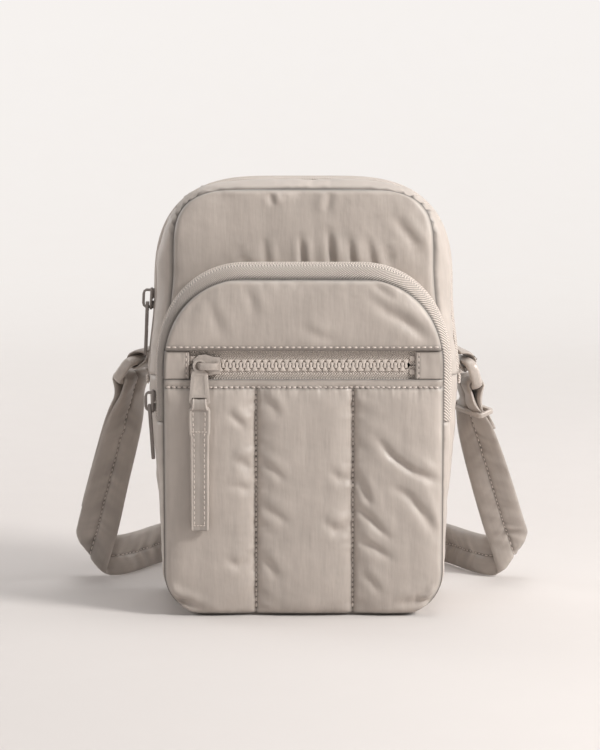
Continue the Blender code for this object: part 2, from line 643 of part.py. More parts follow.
def body_shell():
    """The main compartment: rear panel, front panel, gusset and the two arch strips."""
    rows = [(-half, half, max(z, PANEL_LIFT)) for half, z in MAIN_SEAM.rows()]
    panel("main_front_panel", rows, MAIN_PANEL_FRONT_Y, PANEL_WALL, MAIN_FRONT_PUFF, NYLON,
          puff_low_z=POCKET_CREST.top_z)
    panel("rear_panel", rows, REAR_PANEL_FRONT_Y + REAR_PANEL_WALL, REAR_PANEL_WALL, REAR_PUFF,
          NYLON, facing=1)
    ys = depths(MAIN_GUSSET_FRONT_Y, MAIN_GUSSET_REAR_Y, GUSSET_STEPS)
    split = MAIN_ZIP_END_Z - SEAM_GAP
    shell("main_gusset", [(y, main_outline(y).lower(split)) for y in ys], GUSSET_WALL,
          NYLON_SHADE)
    front_end = MAIN_GUSSET_FRONT_Y + MAIN_STRIP_DEPTH
    rear_start = MAIN_GUSSET_REAR_Y - MAIN_STRIP_DEPTH
    for name, start, end in (
        ("main_zip_strip_front", MAIN_GUSSET_FRONT_Y, front_end),
        ("main_zip_strip_rear", rear_start, MAIN_GUSSET_REAR_Y),
    ):
        ys = depths(start, end, STRIP_STEPS)
        shell(name, [(y, main_outline(y).upper(MAIN_ZIP_END_Z)) for y in ys], GUSSET_WALL,
              NYLON_SHADE)
    middle = (MAIN_GUSSET_FRONT_Y + MAIN_GUSSET_REAR_Y) / 2
    coil_half("main_zip_front_coil", main_outline, front_end + SEAM_GAP,
              middle - BEAD_HALF_GAP, MAIN_ZIP_END_Z, MAIN_SLIDER_Z, COIL_TAPE)
    coil_half("main_zip_rear_coil", main_outline, rear_start - SEAM_GAP,
              middle + BEAD_HALF_GAP, MAIN_ZIP_END_Z, MAIN_SLIDER_Z, COIL_TAPE)
    # A sewn bar closes the lower end of the zip on each side.
    top, low = MAIN_ZIP_END_Z - END_BAR_DROP, MAIN_ZIP_END_Z - END_BAR_DROP - END_BAR_HEIGHT
    ys = depths(middle - END_BAR_REACH, middle + END_BAR_REACH, END_BAR_DEPTH_STEPS)
    for side, word in ((-1, "left"), (1, "right")):
        stations = []
        for y in ys:
            points = [(side * (x + SEAM_GAP + END_BAR_WALL), z)
                      for x, z in main_outline(y).side(low, top, END_BAR_STEPS)]
            stations.append((y, points if side > 0 else points[::-1]))
        shell(f"main_zip_end_bar_{word}", stations, END_BAR_WALL, NYLON_SHADE)
    return middle


def pocket_shell():
    """The front pocket's gusset, its textured zip band, and the tape and strip behind it."""
    band_rear = POCKET_GUSSET_FRONT_Y + POCKET_BAND_DEPTH
    ys = depths(POCKET_GUSSET_FRONT_Y, band_rear, STRIP_STEPS)
    ys += depths(band_rear, POCKET_GUSSET_REAR_Y, STRIP_STEPS)[1:]
    split = POCKET_ZIP_END_Z - SEAM_GAP
    shell("pocket_gusset", [(y, pocket_outline(y).lower(split)) for y in ys], GUSSET_WALL,
          NYLON_SHADE)
    band_end = band_rear - BEAD_WIDTH
    ys = depths(POCKET_GUSSET_FRONT_Y, band_end, BAND_STEPS)
    shell("pocket_zip_band", [(y, pocket_outline(y).upper(POCKET_ZIP_END_Z)) for y in ys],
          GUSSET_WALL, ZIP_TAPE)
    middle = band_end + SEAM_GAP + BEAD_WIDTH + BEAD_SPREAD + BEAD_HALF_GAP
    coil_half("pocket_zip_front_coil", pocket_outline, band_end + SEAM_GAP,
              middle - BEAD_HALF_GAP, POCKET_ZIP_END_Z, POCKET_SLIDER_Z, COIL_TAPE)
    tape_end = middle + BEAD_HALF_GAP + POCKET_REAR_TAPE_DEPTH
    coil_half("pocket_zip_rear_coil", pocket_outline, tape_end,
              middle + BEAD_HALF_GAP, POCKET_ZIP_END_Z, POCKET_SLIDER_Z, COIL_TAPE)
    ys = depths(tape_end + SEAM_GAP, POCKET_GUSSET_REAR_Y, REAR_STRIP_STEPS)
    shell("pocket_zip_strip_rear", [(y, pocket_outline(y).upper(POCKET_ZIP_END_Z)) for y in ys],
          GUSSET_WALL, NYLON_SHADE)
    return middle


def pocket_front():
    """The pocket's upper panel, quilted lower panel and the two patches at the zip's ends."""
    outline = POCKET_SEAM
    rows = [(-half, half, max(z, PANEL_LIFT)) for half, z in outline.rows()]
    low_rows = [row for row in rows if row[2] < WINDOW_LOW_Z - SEAM_GAP]
    top_half = outline.reach(WINDOW_LOW_Z)
    low_rows.append((-top_half, top_half, WINDOW_LOW_Z))
    panel("quilted_lower_panel", low_rows, POCKET_FRONT_Y, PANEL_WALL, QUILT_PUFF, NYLON,
          seams=(QUILT_LEFT_SEAM_X, QUILT_RIGHT_SEAM_X))
    high_half = outline.reach(WINDOW_TOP_Z)
    high_rows = [(-high_half, high_half, WINDOW_TOP_Z)]
    high_rows += [row for row in rows if row[2] > WINDOW_TOP_Z + SEAM_GAP]
    panel("pocket_upper_panel", high_rows, POCKET_FRONT_Y, PANEL_WALL, UPPER_PUFF, NYLON)
    low, high = WINDOW_LOW_Z + SEAM_GAP, WINDOW_TOP_Z - SEAM_GAP
    zs = depths(low, high, PATCH_STEPS)
    left_rows = [(-outline.reach(z), WINDOW_LEFT_X, z) for z in zs]
    right_rows = [(WINDOW_RIGHT_X, outline.reach(z), z) for z in zs]
    for name, patch_rows in (("zip_end_patch_left", left_rows),
                             ("zip_end_patch_right", right_rows)):
        panel(name, patch_rows, POCKET_FRONT_Y, PANEL_WALL, 0.0, NYLON)


def tooth_outline(centre, side):
    """Plan of one moulded tooth: base on the tape, neck, and a wider head across the gap."""
    head_tip = CHAIN_Z - side * TOOTH_REACH
    head_start = CHAIN_Z - side * TOOTH_HEAD_START
    base = CHAIN_Z + side * TOOTH_BASE
    edge = CHAIN_Z + side * TAPE_EDGE_HALF_GAP
    chamfer = TOOTH_HEAD_HALF - TOOTH_NECK_HALF
    return [
        (centre - TOOTH_HEAD_HALF, base), (centre - TOOTH_HEAD_HALF, edge),
        (centre - TOOTH_NECK_HALF, head_start + side * chamfer),
        (centre - TOOTH_HEAD_HALF, head_start), (centre - TOOTH_HEAD_HALF, head_tip + side * chamfer),
        (centre - TOOTH_NECK_HALF, head_tip), (centre + TOOTH_NECK_HALF, head_tip),
        (centre + TOOTH_HEAD_HALF, head_tip + side * chamfer), (centre + TOOTH_HEAD_HALF, head_start),
        (centre + TOOTH_NECK_HALF, head_start + side * chamfer), (centre + TOOTH_HEAD_HALF, edge),
        (centre + TOOTH_HEAD_HALF, base),
    ]


def front_chain(name, side):
    """One tape of the horizontal zip with its moulded teeth and end stops fused to it."""
    tape_front = POCKET_PANEL_REAR_Y + SEAM_GAP
    tape_middle = tape_front + TAPE_WALL / 2
    front = Matrix.Rotation(math.pi / 2, 4, "X")
    near = CHAIN_Z + side * TAPE_EDGE_HALF_GAP
    far = CHAIN_Z + side * TAPE_HALF_HEIGHT
    left, right = WINDOW_LEFT_X - TAPE_SIDE_LAP, WINDOW_RIGHT_X + TAPE_SIDE_LAP
    tape_outline = [(left, near), (right, near), (right, far), (left, far)]
    tape = prism(name, tape_outline, -tape_front - TAPE_WALL, -tape_front, MOULDED_TEETH, front)
    phase = TOOTH_PITCH / 2 if side < 0 else 0.0
    count = int((CHAIN_RIGHT_X - CHAIN_LEFT_X - phase) / TOOTH_PITCH) + 1
    outlines = [tooth_outline(CHAIN_LEFT_X + phase + i * TOOTH_PITCH, side) for i in range(count)]
    # A stop closes the row at each end: a block on the tape's edge.
    for x in (WINDOW_LEFT_X + STOP_INSET, WINDOW_RIGHT_X - STOP_INSET):
        low, high = near + side * STOP_EDGE_INSET, near + side * STOP_HEIGHT
        outlines.append([(x - STOP_WIDTH / 2, low), (x + STOP_WIDTH / 2, low),
                         (x + STOP_WIDTH / 2, high), (x - STOP_WIDTH / 2, high)])
    points, faces = [], []
    for outline in outlines:
        start, count = len(points), len(outline)
        for y in (tape_middle - TOOTH_THICKNESS / 2, tape_middle + TOOTH_THICKNESS / 2):
            points += [(x, y, z) for x, z in outline]
        faces.append(tuple(range(start, start + count)))
        faces.append(tuple(range(start + count, start + 2 * count)))
        for i in range(count):
            after = (i + 1) % count
            faces.append((start + i, start + after, start + count + after, start + count + i))
    teeth = solid(f"{name}_teeth_guide", points, faces, MOULDED_TEETH, smooth=False)
    return combine(tape, [teeth], "UNION")


def pouch():
    """The thin pouch behind the horizontal zip: a tray open towards the front."""
    left = WINDOW_LEFT_X - TAPE_SIDE_LAP - POUCH_SIDE_LAP
    right = WINDOW_RIGHT_X + TAPE_SIDE_LAP + POUCH_SIDE_LAP
    top = CHAIN_Z + TAPE_HALF_HEIGHT + POUCH_TOP_LAP
    front, back = POCKET_PANEL_REAR_Y + SEAM_GAP, POCKET_PANEL_REAR_Y + SEAM_GAP + POUCH_DEPTH
    place = Matrix.Rotation(math.pi / 2, 4, "X")
    outer = [(left, POUCH_LOW_Z), (right, POUCH_LOW_Z), (right, top), (left, top)]
    wall = POUCH_WALL
    hollow = [(left + wall, POUCH_LOW_Z + wall), (right - wall, POUCH_LOW_Z + wall),
              (right - wall, top - wall), (left + wall, top - wall)]
    tray = prism("zip_pouch", outer, -back, -front, LINING, place)
    cutter = prism("zip_pouch_guide", hollow, -back + wall, -front + CUT_OVERRUN, LINING, place)
    return combine(tray, [cutter], "DIFFERENCE")


def box(name, size, centre, finish, place=Matrix.Identity(4)):
    """A closed block of a size at a centre, then placed."""
    sx, sy, sz = (length / 2 for length in size)
    outline = [(centre[0] - sx, centre[1] - sy), (centre[0] + sx, centre[1] - sy),
               (centre[0] + sx, centre[1] + sy), (centre[0] - sx, centre[1] + sy)]
    return prism(name, outline, centre[2] - sz, centre[2] + sz, finish, place)


def slider_plan(scale):
    """Plan of a slider's plate: shoulders near its mouth, drawn in towards its tail."""
    half = SLIDER_LENGTH * scale / 2
    mouth, tail = SLIDER_MOUTH_WIDTH * scale / 2, SLIDER_TAIL_WIDTH * scale / 2
    crest_x = -half + SLIDER_LENGTH * scale * SLIDER_CREST_SHARE
    crest = SLIDER_CREST_WIDTH * scale / 2
    along_share, across_share = SLIDER_DRAW_IN_SHARES
    right = [(-half, mouth * SLIDER_NOSE_SHARE),
             (mix(-half, crest_x, SLIDER_SHOULDER_SHARE), mouth), (crest_x, crest),
             (mix(crest_x, half, along_share), mix(crest, tail, across_share)), (half, tail)]
    return right[::-1] + [(x, -y) for x, y in right]


def bail_profile(length, rise, bar):
    """Side view of the bail: an arched bar with two feet on the plate."""
    half = length / 2
    outer = [(half, -bar)] + [(half * x, rise * z) for x, z in BAIL_OUTER_SHARES]
    outer = [(-x, z) for x, z in outer] + outer[::-1]
    shoulder_x, shoulder_drop = BAIL_INNER_SHOULDER_SHARES
    inner = [(half - bar, -bar), (half - bar, rise * BAIL_INNER_FOOT_SHARE),
             (half * shoulder_x, rise - bar * shoulder_drop),
             (half * BAIL_INNER_CROWN_SHARE, rise - bar)]
    return outer, inner + [(-x, z) for x, z in inner[::-1]]


def slider(name, place, scale, bail_width, bail_rise, bail_shift, finish):
    """A zip slider round the chain: two plates, flanges, the wedge between them and the bail."""
    plan = slider_plan(scale)
    channel = SLIDER_CHANNEL / 2
    plate = SLIDER_PLATE * scale
    front = prism(name, plan, channel, channel + plate, finish, place)
    back = prism(f"{name}_back_guide", plan, -channel - plate, -channel, finish, place)
    half = SLIDER_LENGTH * scale / 2
    wedge_x = -half + WEDGE_LENGTH / 2 + SLIDER_FLANGE / 2
    wedge = box(f"{name}_wedge_guide", (WEDGE_LENGTH, WEDGE_WIDTH * scale, SLIDER_CHANNEL + plate),
                (wedge_x, 0.0, 0.0), finish, place)
    parts = [back, wedge]
    tail = SLIDER_TAIL_WIDTH * scale / 2
    for side in (-1, 1):
        for layer in (-1, 1):
            reach = SLIDER_FLANGE_REACH
            length = half * SLIDER_FLANGE_SHARE
            centre = (length / 2, side * (tail - SLIDER_FLANGE / 2),
                      layer * (channel - reach / 2 + plate / 4))
            parts.append(box(f"{name}_flange_guide_{side}_{layer}",
                             (length, SLIDER_FLANGE, reach + plate / 2), centre, finish, place))
    # The bail's profile lies along the travel and is as deep as the bail is wide.
    outer, inner = bail_profile(BAIL_LENGTH, bail_rise, BAIL_BAR)
    foot = channel + plate
    outline = [(x + bail_shift, foot + z) for x, z in outer + inner]
    stand = place @ Matrix.Rotation(math.pi / 2, 4, "X")
    parts.append(prism(f"{name}_bail_guide", outline, -bail_width / 2, bail_width / 2, finish,
                       stand))
    return combine(front, parts, "UNION")


def circle(radius, steps):
    """Points of a circle round the origin."""
    angles = [2 * math.pi * i / steps for i in range(steps)]
    return [(radius * math.cos(a), radius * math.sin(a)) for a in angles]


def front_puller(pivot):
    """The front puller: an eye round the bail's post, a dished plate and a slot for the tab."""
    hang = Matrix.Translation(pivot) @ Matrix.Rotation(-PULLER_TILT, 4, "X")
    top, foot = PULLER_TOP_WIDTH / 2, PULLER_FOOT_WIDTH / 2
    shoulder = -EYE_OUTER_RADIUS + PULLER_RIM / 2
    low = -PULLER_LENGTH
    upright = hang @ Matrix.Rotation(math.pi / 2, 4, "X")
    half = PULLER_WALL / 2
    edge = [(foot - PULLER_RIM, low), (foot, low + PULLER_RIM), (top, shoulder - PULLER_RIM),
            (top * PULLER_SHOULDER_SHARE, shoulder)]
    plan = [(-x, z) for x, z in edge[::-1]] + edge
    plate = prism("front_zip_puller", plan, -half, half, CAST_SLIDER, upright)
    eye = prism("front_puller_eye_guide", circle(EYE_OUTER_RADIUS, EYE_STEPS), -half, half, CAST_SLIDER,
                upright)
    bore = prism("front_puller_bore_guide", circle(EYE_INNER_RADIUS, BORE_STEPS), -half - CUT_OVERRUN,
                 half + CUT_OVERRUN, CAST_SLIDER, upright)
    slot_low = low + PULLER_FOOT_BAR
    slot_top = slot_low + PULLER_SLOT_HEIGHT
    slot_half = PULLER_SLOT_WIDTH / 2
    slot = [(-slot_half, slot_low), (slot_half, slot_low), (slot_half, slot_top),
            (-slot_half, slot_top)]
    opening = prism("front_puller_slot_guide", slot, -half - CUT_OVERRUN, half + CUT_OVERRUN,
                    CAST_SLIDER, upright)
    # The dish is cut into the front face only, inside a rim.
    dish_half = foot - PULLER_DISH_SIDE_RIM
    dish_top_half = dish_half * PULLER_DISH_TAPER_SHARE
    dish_top, dish_low = shoulder - PULLER_DISH_TOP_RIM, slot_top + PULLER_RIM
    dish = [(-dish_half, dish_low), (dish_half, dish_low), (dish_top_half, dish_top),
            (-dish_top_half, dish_top)]
    hollow = prism("front_puller_dish_guide", dish, half - PULLER_DISH, half + CUT_OVERRUN,
                   CAST_SLIDER, upright)
    combine(plate, [eye], "UNION")
    combine(plate, [bore, opening, hollow], "DIFFERENCE")
    set_origin(plate, pivot)
    return hang, low + PULLER_FOOT_BAR / 2


def band_rows(path, wall, columns=1):
    """Rows of points across a flat band along a path of (centre, width direction, half)."""
    centres = np.array([station[0] for station in path])
    widths = np.array([station[1] for station in path])
    steps = np.diff(centres, axis=0)
    steps /= np.linalg.norm(steps, axis=1)[:, None]
    tangents = np.vstack([steps[:1], steps[:-1] + steps[1:], steps[-1:]])
    tangents /= np.linalg.norm(tangents, axis=1)[:, None]
    widths = widths - tangents * np.sum(widths * tangents, axis=1)[:, None]
    widths /= np.linalg.norm(widths, axis=1)[:, None]
    normals = np.cross(tangents, widths)
    rows = []
    for centre, width, (_, _, half), normal in zip(centres, widths, path, normals):
        across = [centre + width * half * (2 * i / columns - 1) for i in range(columns + 1)]
        rows.append(([point + normal * wall / 2 for point in across],
                     [point - normal * wall / 2 for point in across]))
    return rows


def band_solid(name, rows, finish):
    """Close rows of points on a band's two faces into one solid."""
    columns = len(rows[0][0])
    points = [point for top, low in rows for point in (*top, *low[::-1])]
    loop = 2 * columns
    faces = []
    for row in range(len(rows) - 1):
        for i in range(loop):
            after = (i + 1) % loop
            faces.append((row * loop + i, row * loop + after, (row + 1) * loop + after,
                          (row + 1) * loop + i))
    for start in (0, (len(rows) - 1) * loop):
        for i in range(columns - 1):
            faces.append((start + i, start + i + 1, start + loop - 2 - i, start + loop - 1 - i))
    return solid(name, points, faces, finish)


def ribbon(name, path, wall, finish):
    """A flat band along a path of (centre, width direction, half width)."""
    return band_solid(name, band_rows(path, wall), finish)


def smooth_path(keys, steps):
    """A smooth curve through keys of any numbers: Catmull-Rom, a few steps for each stretch."""
    keys = np.array(keys, dtype=float)
    ends = np.vstack([2 * keys[0] - keys[1], keys, 2 * keys[-1] - keys[-2]])
    path = []
    for i in range(len(keys) - 1):
        a, b, c, d = ends[i:i + 4]
        for k in range(steps):
            t = k / steps
            path.append(0.5 * (2 * b + (c - a) * t + (2 * a - 5 * b + 4 * c - d) * t ** 2
                               + (3 * b - a - 3 * c + d) * t ** 3))
    path.append(keys[-1])
    return np.array(path)


def pull_tab(hang, slot_z):
    """The fabric tab: one band folded through the puller's slot, its layers sewn together."""
    loop = math.hypot(PULLER_FOOT_BAR, PULLER_WALL) / 2 + LOOP_CLEARANCE + TAB_LAYER / 2
    gap = (TAB_LAYER + SEAM_GAP) / 2
    # One layer from its end up to the loop's top, each as (depth, height, width).
    wide = TAB_WIDTH + TAB_SPREAD
    layer = [(gap, -TAB_LENGTH, wide), (gap, -TAB_LENGTH * TAB_SEWN_SHARE, wide),
             (gap, -TAB_LENGTH * TAB_CLOSED_SHARE, wide),
             (loop * TAB_CHEEK_SHARE, -loop * TAB_CHEEK_DROP_SHARE, TAB_WIDTH),
             (loop, 0.0, TAB_WIDTH), (loop * TAB_CORNER_SHARE, loop * TAB_CORNER_SHARE, TAB_WIDTH)]
    keys = [(-y, z, width) for y, z, width in layer] + [(0.0, loop, TAB_WIDTH)] + layer[::-1]
    sunk = math.tan(PULLER_TILT) * TAB_LEAN_SHARE
    path = []
    for y, z, width in keys:
        # Below the plate the band hangs straight down again.
        point = hang @ Vector((0.0, y, slot_z))
        path.append((np.array(point) + np.array((0.0, -max(0.0, -z) * sunk, z)),
                     np.array((1.0, 0.0, 0.0)), width / 2))
    centre = hang @ Vector((0.0, 0.0, slot_z))
    tab = ribbon("front_zip_pull_tab", path, TAB_LAYER, WEBBING)
    set_origin(tab, centre)
    return centre


def side_puller(name, pivot, lean, finish):
    """A plain puller plate that hangs edge-on beside the bag from its crossbar."""
    hang = Matrix.Translation(pivot) @ Matrix.Rotation(lean, 4, "Y")
    flat = hang @ Matrix.Rotation(math.pi / 2, 4, "Y")
    half = SIDE_PULLER_WIDTH / 2
    bar = SIDE_CROSSBAR / 2
    low = SIDE_PULLER_LENGTH
    edge = [(-bar, half * SIDE_PULLER_HEAD_SHARE)]
    edge += [(low * along, half * across) for along, across in SIDE_PULLER_EDGE_SHARES]
    plan = [(x, -y) for x, y in edge] + edge[::-1]
    plate = prism(name, plan, -SIDE_PULLER_WALL / 2, SIDE_PULLER_WALL / 2, finish, flat)
    eye_half, eye_low = SIDE_EYE_WIDTH / 2, bar + SIDE_EYE_HEIGHT
    eye = [(bar, -eye_half), (eye_low, -eye_half), (eye_low, eye_half), (bar, eye_half)]
    hole = prism(f"{name}_eye_guide", eye, -SIDE_PULLER_WALL, SIDE_PULLER_WALL, finish, flat)
    combine(plate, [hole], "DIFFERENCE")
    set_origin(plate, pivot)


def surface_frame(outline_at, y, z):
    """Point on the left outer skin and its upward slope, for what rides on a side zip."""
    step = SEAM_GAP
    here, above = outline_at(y).half(z), outline_at(y).half(z + step)
    lean = math.atan2(here - above, step)
    return Vector((-here, y, z)), lean


def side_zip(prefix, outline_at, middle, slider_z, bail_rise, puller_tuck, finish):
    """A slider and its puller on the left run of an arched zip."""
    point, lean = surface_frame(outline_at, middle, slider_z)
    # Local x runs up along the chain, local y to the back, local z out of the bag.
    turn = Matrix(((0.0, 0.0, -1.0), (0.0, 1.0, 0.0), (1.0, 0.0, 0.0))).to_4x4()
    tilt = Matrix.Rotation(lean, 4, "Y")
    chain_centre = point + Vector(((TAPE_WALL - BEAD_RISE) / 2, 0.0, 0.0))
    place = Matrix.Translation(chain_centre) @ tilt @ turn
    scale = SIDE_SLIDER_SCALE_SHARE
    body = slider(f"{prefix}_slider", place, scale, SIDE_BAIL_WIDTH, bail_rise, 0.0, finish)
    plate_top = SLIDER_CHANNEL / 2 + SLIDER_PLATE * scale
    turning = math.hypot(SIDE_CROSSBAR, SIDE_PULLER_WALL) / 2
    drop = -BAIL_LENGTH / 2 + BAIL_BAR + LOOP_CLEARANCE + turning
    out = plate_top + (bail_rise - BAIL_BAR) / 2
    pivot = place @ Vector((drop, 0.0, out))
    # The puller hangs beside the skin below the slider, tucked in a little towards it.
    foot = outline_at(middle).half(slider_z - SIDE_PULLER_LENGTH)
    skin_lean = math.atan2(foot - outline_at(middle).half(slider_z), SIDE_PULLER_LENGTH)
    side_puller(f"{prefix}_puller", pivot, skin_lean - puller_tuck, finish)
    set_origin(body, chain_centre)
    return pivot


def ring_frame(centre, turn, lean, side):
    """Axes of a strap ring: along its bars, outwards, and down its height."""
    along = np.array((-side * math.sin(turn), math.cos(turn), 0.0))
    outward = np.array((side * math.cos(turn), math.sin(turn), 0.0))
    down = outward * math.sin(lean) + np.array((0.0, 0.0, -math.cos(lean)))
    return np.array(centre), along, outward, down


def squared(value):
    """A sine or cosine made fuller, so that the section it draws is a squared round."""
    return math.copysign(abs(value) ** RING_SECTION_POWER, value)


def strap_ring(name, frame):
    """A moulded oval ring: a rounded band swept round a squared oval."""
    centre, along, outward, down = frame
    through = np.cross(along, down)
    half_length = (RING_LENGTH - RING_BAR) / 2
    half_height = (RING_HEIGHT - RING_BAR) / 2
    arc = quarter(half_length, half_height, RING_POWER, RING_STEPS // 4)
    loop = arc + [(-x, y) for x, y in arc[::-1]][1:]
    loop += [(-x, -y) for x, y in arc][1:] + [(x, -y) for x, y in arc[::-1]][1:-1]
    path = np.array(loop)
    points, faces = [], []
    count = len(path)
    for i, (x, y) in enumerate(path):
        ahead, behind = path[(i + 1) % count], path[i - 1]
        tangent = (ahead - behind) / np.linalg.norm(ahead - behind)
        normal = np.array((tangent[1], -tangent[0]))
        for k in range(RING_SECTION_STEPS):
            angle = 2 * math.pi * k / RING_SECTION_STEPS
            out = RING_BAR / 2 * squared(math.cos(angle))
            side = RING_BAND / 2 * squared(math.sin(angle))
            spot = centre + along * (x + normal[0] * out) + down * (y + normal[1] * out)
            points.append(spot + through * side)
    for i in range(count):
        for k in range(RING_SECTION_STEPS):
            after, turn = (i + 1) % count, (k + 1) % RING_SECTION_STEPS
            faces.append((i * RING_SECTION_STEPS + k, i * RING_SECTION_STEPS + turn,
                          after * RING_SECTION_STEPS + turn, after * RING_SECTION_STEPS + k))
    ring = solid(name, points, faces, RING_COAT)
    set_origin(ring, centre - down * half_height)


def sewn_tab(name, frame, side):
    """The short band that holds a ring: out of the rear seam, round the upper bar and back."""
    centre, along, outward, down = frame
    bar = centre - down * (RING_HEIGHT - RING_BAR) / 2
    radius = RING_BAND / 2 + TAB_LOOP_CLEARANCE + TAB_STRAP_WALL / 2
    closed = (TAB_STRAP_WALL + SEAM_GAP) / 2
    skin = main_outline(TAB_ROOT_Y).half(TAB_ROOT_Z)
    standoff = TAB_STRAP_WALL * TAB_ROOT_STANDOFF_SHARE
    root = np.array((side * (skin + standoff), TAB_ROOT_Y, TAB_ROOT_Z))
    up = np.array((0.0, 0.0, 1.0))
    way = root - bar
    slope = math.atan2(way[2], math.hypot(way[0], way[1]))
    offset = up * math.cos(slope) + outward * math.sin(slope)
    root_width = np.array((-side * TAB_ROOT_SLANT[0], TAB_ROOT_SLANT[1], TAB_ROOT_SLANT[2]))
    root_width /= np.linalg.norm(root_width)
    half = TAB_STRAP_WIDTH / 2
    # From the bar to the seam both layers close up and narrow.
    layer = []
    for share in TAB_STEP_SHARES:
        gap = mix(radius, closed, share ** TAB_CLOSING_POWER)
        layer.append((mix(bar, root, share), offset * gap,
                      mix(along, root_width, share ** TAB_TWIST_POWER),
                      mix(half, TAB_ROOT_HALF, share)))
    path = [(middle + lift, width, reach) for middle, lift, width, reach in layer[::-1]]
    for i in range(LOOP_STEPS + 1):
        angle = math.pi / 2 - slope - math.pi * i / LOOP_STEPS
        spot = bar + outward * radius * math.cos(angle) + up * radius * math.sin(angle)
        path.append((spot, along, half))
    path += [(middle - lift, width, reach) for middle, lift, width, reach in layer]
    return ribbon(name, path, TAB_STRAP_WALL, WEBBING)


def fold_rows(side, fold):
    """Rows of a diagonal fold: the band wraps half round a thin round edge and turns inwards."""
    heading = np.array((side * math.sin(FALL_LEAN), 0.0, -math.cos(FALL_LEAN)))
    width = np.array((-side * math.cos(FALL_LEAN), 0.0, -math.sin(FALL_LEAN)))
    leaving = np.array((-side, 0.0, 0.0))
    axis = (heading + leaving) / np.linalg.norm(heading + leaving)
    out = np.array((axis[2], 0.0, -axis[0]))
    out *= math.copysign(1.0, float(np.dot(out, heading)))
    back = np.array((0.0, 1.0, 0.0))
    half_bend = FOLD_RADIUS * math.pi / 2
    low_z = STRAP_WIDTH / 2 + FLOOR_CLEARANCE - out[2] * half_bend
    centre = np.array((fold[0] - out[0] * FOLD_RADIUS, fold[1], low_z))
    rows = []
    for k in range(FOLD_ROWS):
        travel = FOLD_REACH * (2 * k / (FOLD_ROWS - 1) - 1)
        faces = []
        for layer in (-side, side):
            radius = FOLD_RADIUS + layer * STRAP_WALL / 2
            row = []
            for i in range(STRAP_COLUMNS + 1):
                spot = heading * travel + width * STRAP_WIDTH * (i / STRAP_COLUMNS - 0.5)
                along, across = float(np.dot(spot, axis)), float(np.dot(spot, out))
                if across < -half_bend:
                    turned = out * (across + half_bend) - back * radius
                elif across > half_bend:
                    turned = -out * (across - half_bend) + back * radius
                else:
                    angle = (across + half_bend) / FOLD_RADIUS
                    turned = out * radius * math.sin(angle) - back * radius * math.cos(angle)
                row.append(centre + axis * along + turned)
            faces.append(row)
        rows.append(tuple(faces))
    return rows, width


def strap_fall(side, frame, keys, turns, fold_out, doubled):
    """One hanging end of the strap: through the ring, down to the floor, folded and led back."""
    centre, along, outward, down = frame
    bar = centre + down * (RING_HEIGHT - RING_BAR) / 2
    radius = RING_BAND / 2 + LOOP_CLEARANCE + STRAP_WALL / 2
    up = np.array((0.0, 0.0, 1.0))
    half = STRAP_WIDTH / 2
    folded, fold_width = fold_rows(side, (side * (MAIN_WAIST_HALF + fold_out), FOLD_Y))
    keys = [(side * (MAIN_WAIST_HALF + out), y, z) for out, y, z in keys]
    entry = np.mean(folded[0][0] + folded[0][1], axis=0)
    leaving = np.mean(folded[-1][0] + folded[-1][1], axis=0)
    below = bar + down * radius * FALL_START_DOWN_SHARE - up * radius * FALL_START_DROP_SHARE
    table = smooth_path([(*bar, *along), (*below, *along)]
                        + [(*k, *t) for k, t in zip(keys, turns)] + [(*entry, *fold_width)],
                        FALL_STEPS)
    centres, widths = table[:, :3], table[:, 3:]
    tangents = np.gradient(centres, axis=0)
    tangents /= np.linalg.norm(tangents, axis=1)[:, None]
    normals = np.cross(tangents, widths) * side
    normals /= np.linalg.norm(normals, axis=1)[:, None]
    travelled = np.concatenate([[0.0], np.cumsum(np.linalg.norm(np.diff(centres, axis=0), axis=1))])
    closed = (STRAP_WALL + SEAM_GAP) / 2
    gaps = closed + (radius - closed) * np.exp(-travelled / (radius * LOOP_CLOSING))
    # The far layer ends a little way down; the near one runs on to the floor.
    layers = list(zip(centres, normals, gaps, widths, travelled))
    path = [(c + n * g, w, half) for c, n, g, w, s in layers if radius < s < doubled][::-1]
    for i in range(LOOP_STEPS + 1):
        angle = math.pi * i / LOOP_STEPS
        spot = bar + outward * radius * math.cos(angle) + up * radius * math.sin(angle)
        path.append((spot, along, half))
    length = travelled[-1]
    path += [(c - n * g * (1 - ease((s - doubled) / (length - doubled))), w, half)
             for c, n, g, w, s in layers if radius < s < length - STRAP_WALL]
    rows = band_rows(path, STRAP_WALL, STRAP_COLUMNS) + folded
    lead_keys = [(side * (MAIN_WAIST_HALF + out), y) for out, y in LEAD_KEYS]
    flat = smooth_path([leaving[:2]] + lead_keys, LEAD_STEPS)[1:]
    z = STRAP_WIDTH / 2 + FLOOR_CLEARANCE
    lead = [(np.array((x, y, z)), np.array((0.0, 0.0, -1.0)), half) for x, y in flat]
    rows += band_rows(lead, STRAP_WALL, STRAP_COLUMNS)
    spot = int(np.searchsorted(travelled, ADJUSTER_DROP))
    return rows, (centres[spot], widths[spot], tangents[spot])


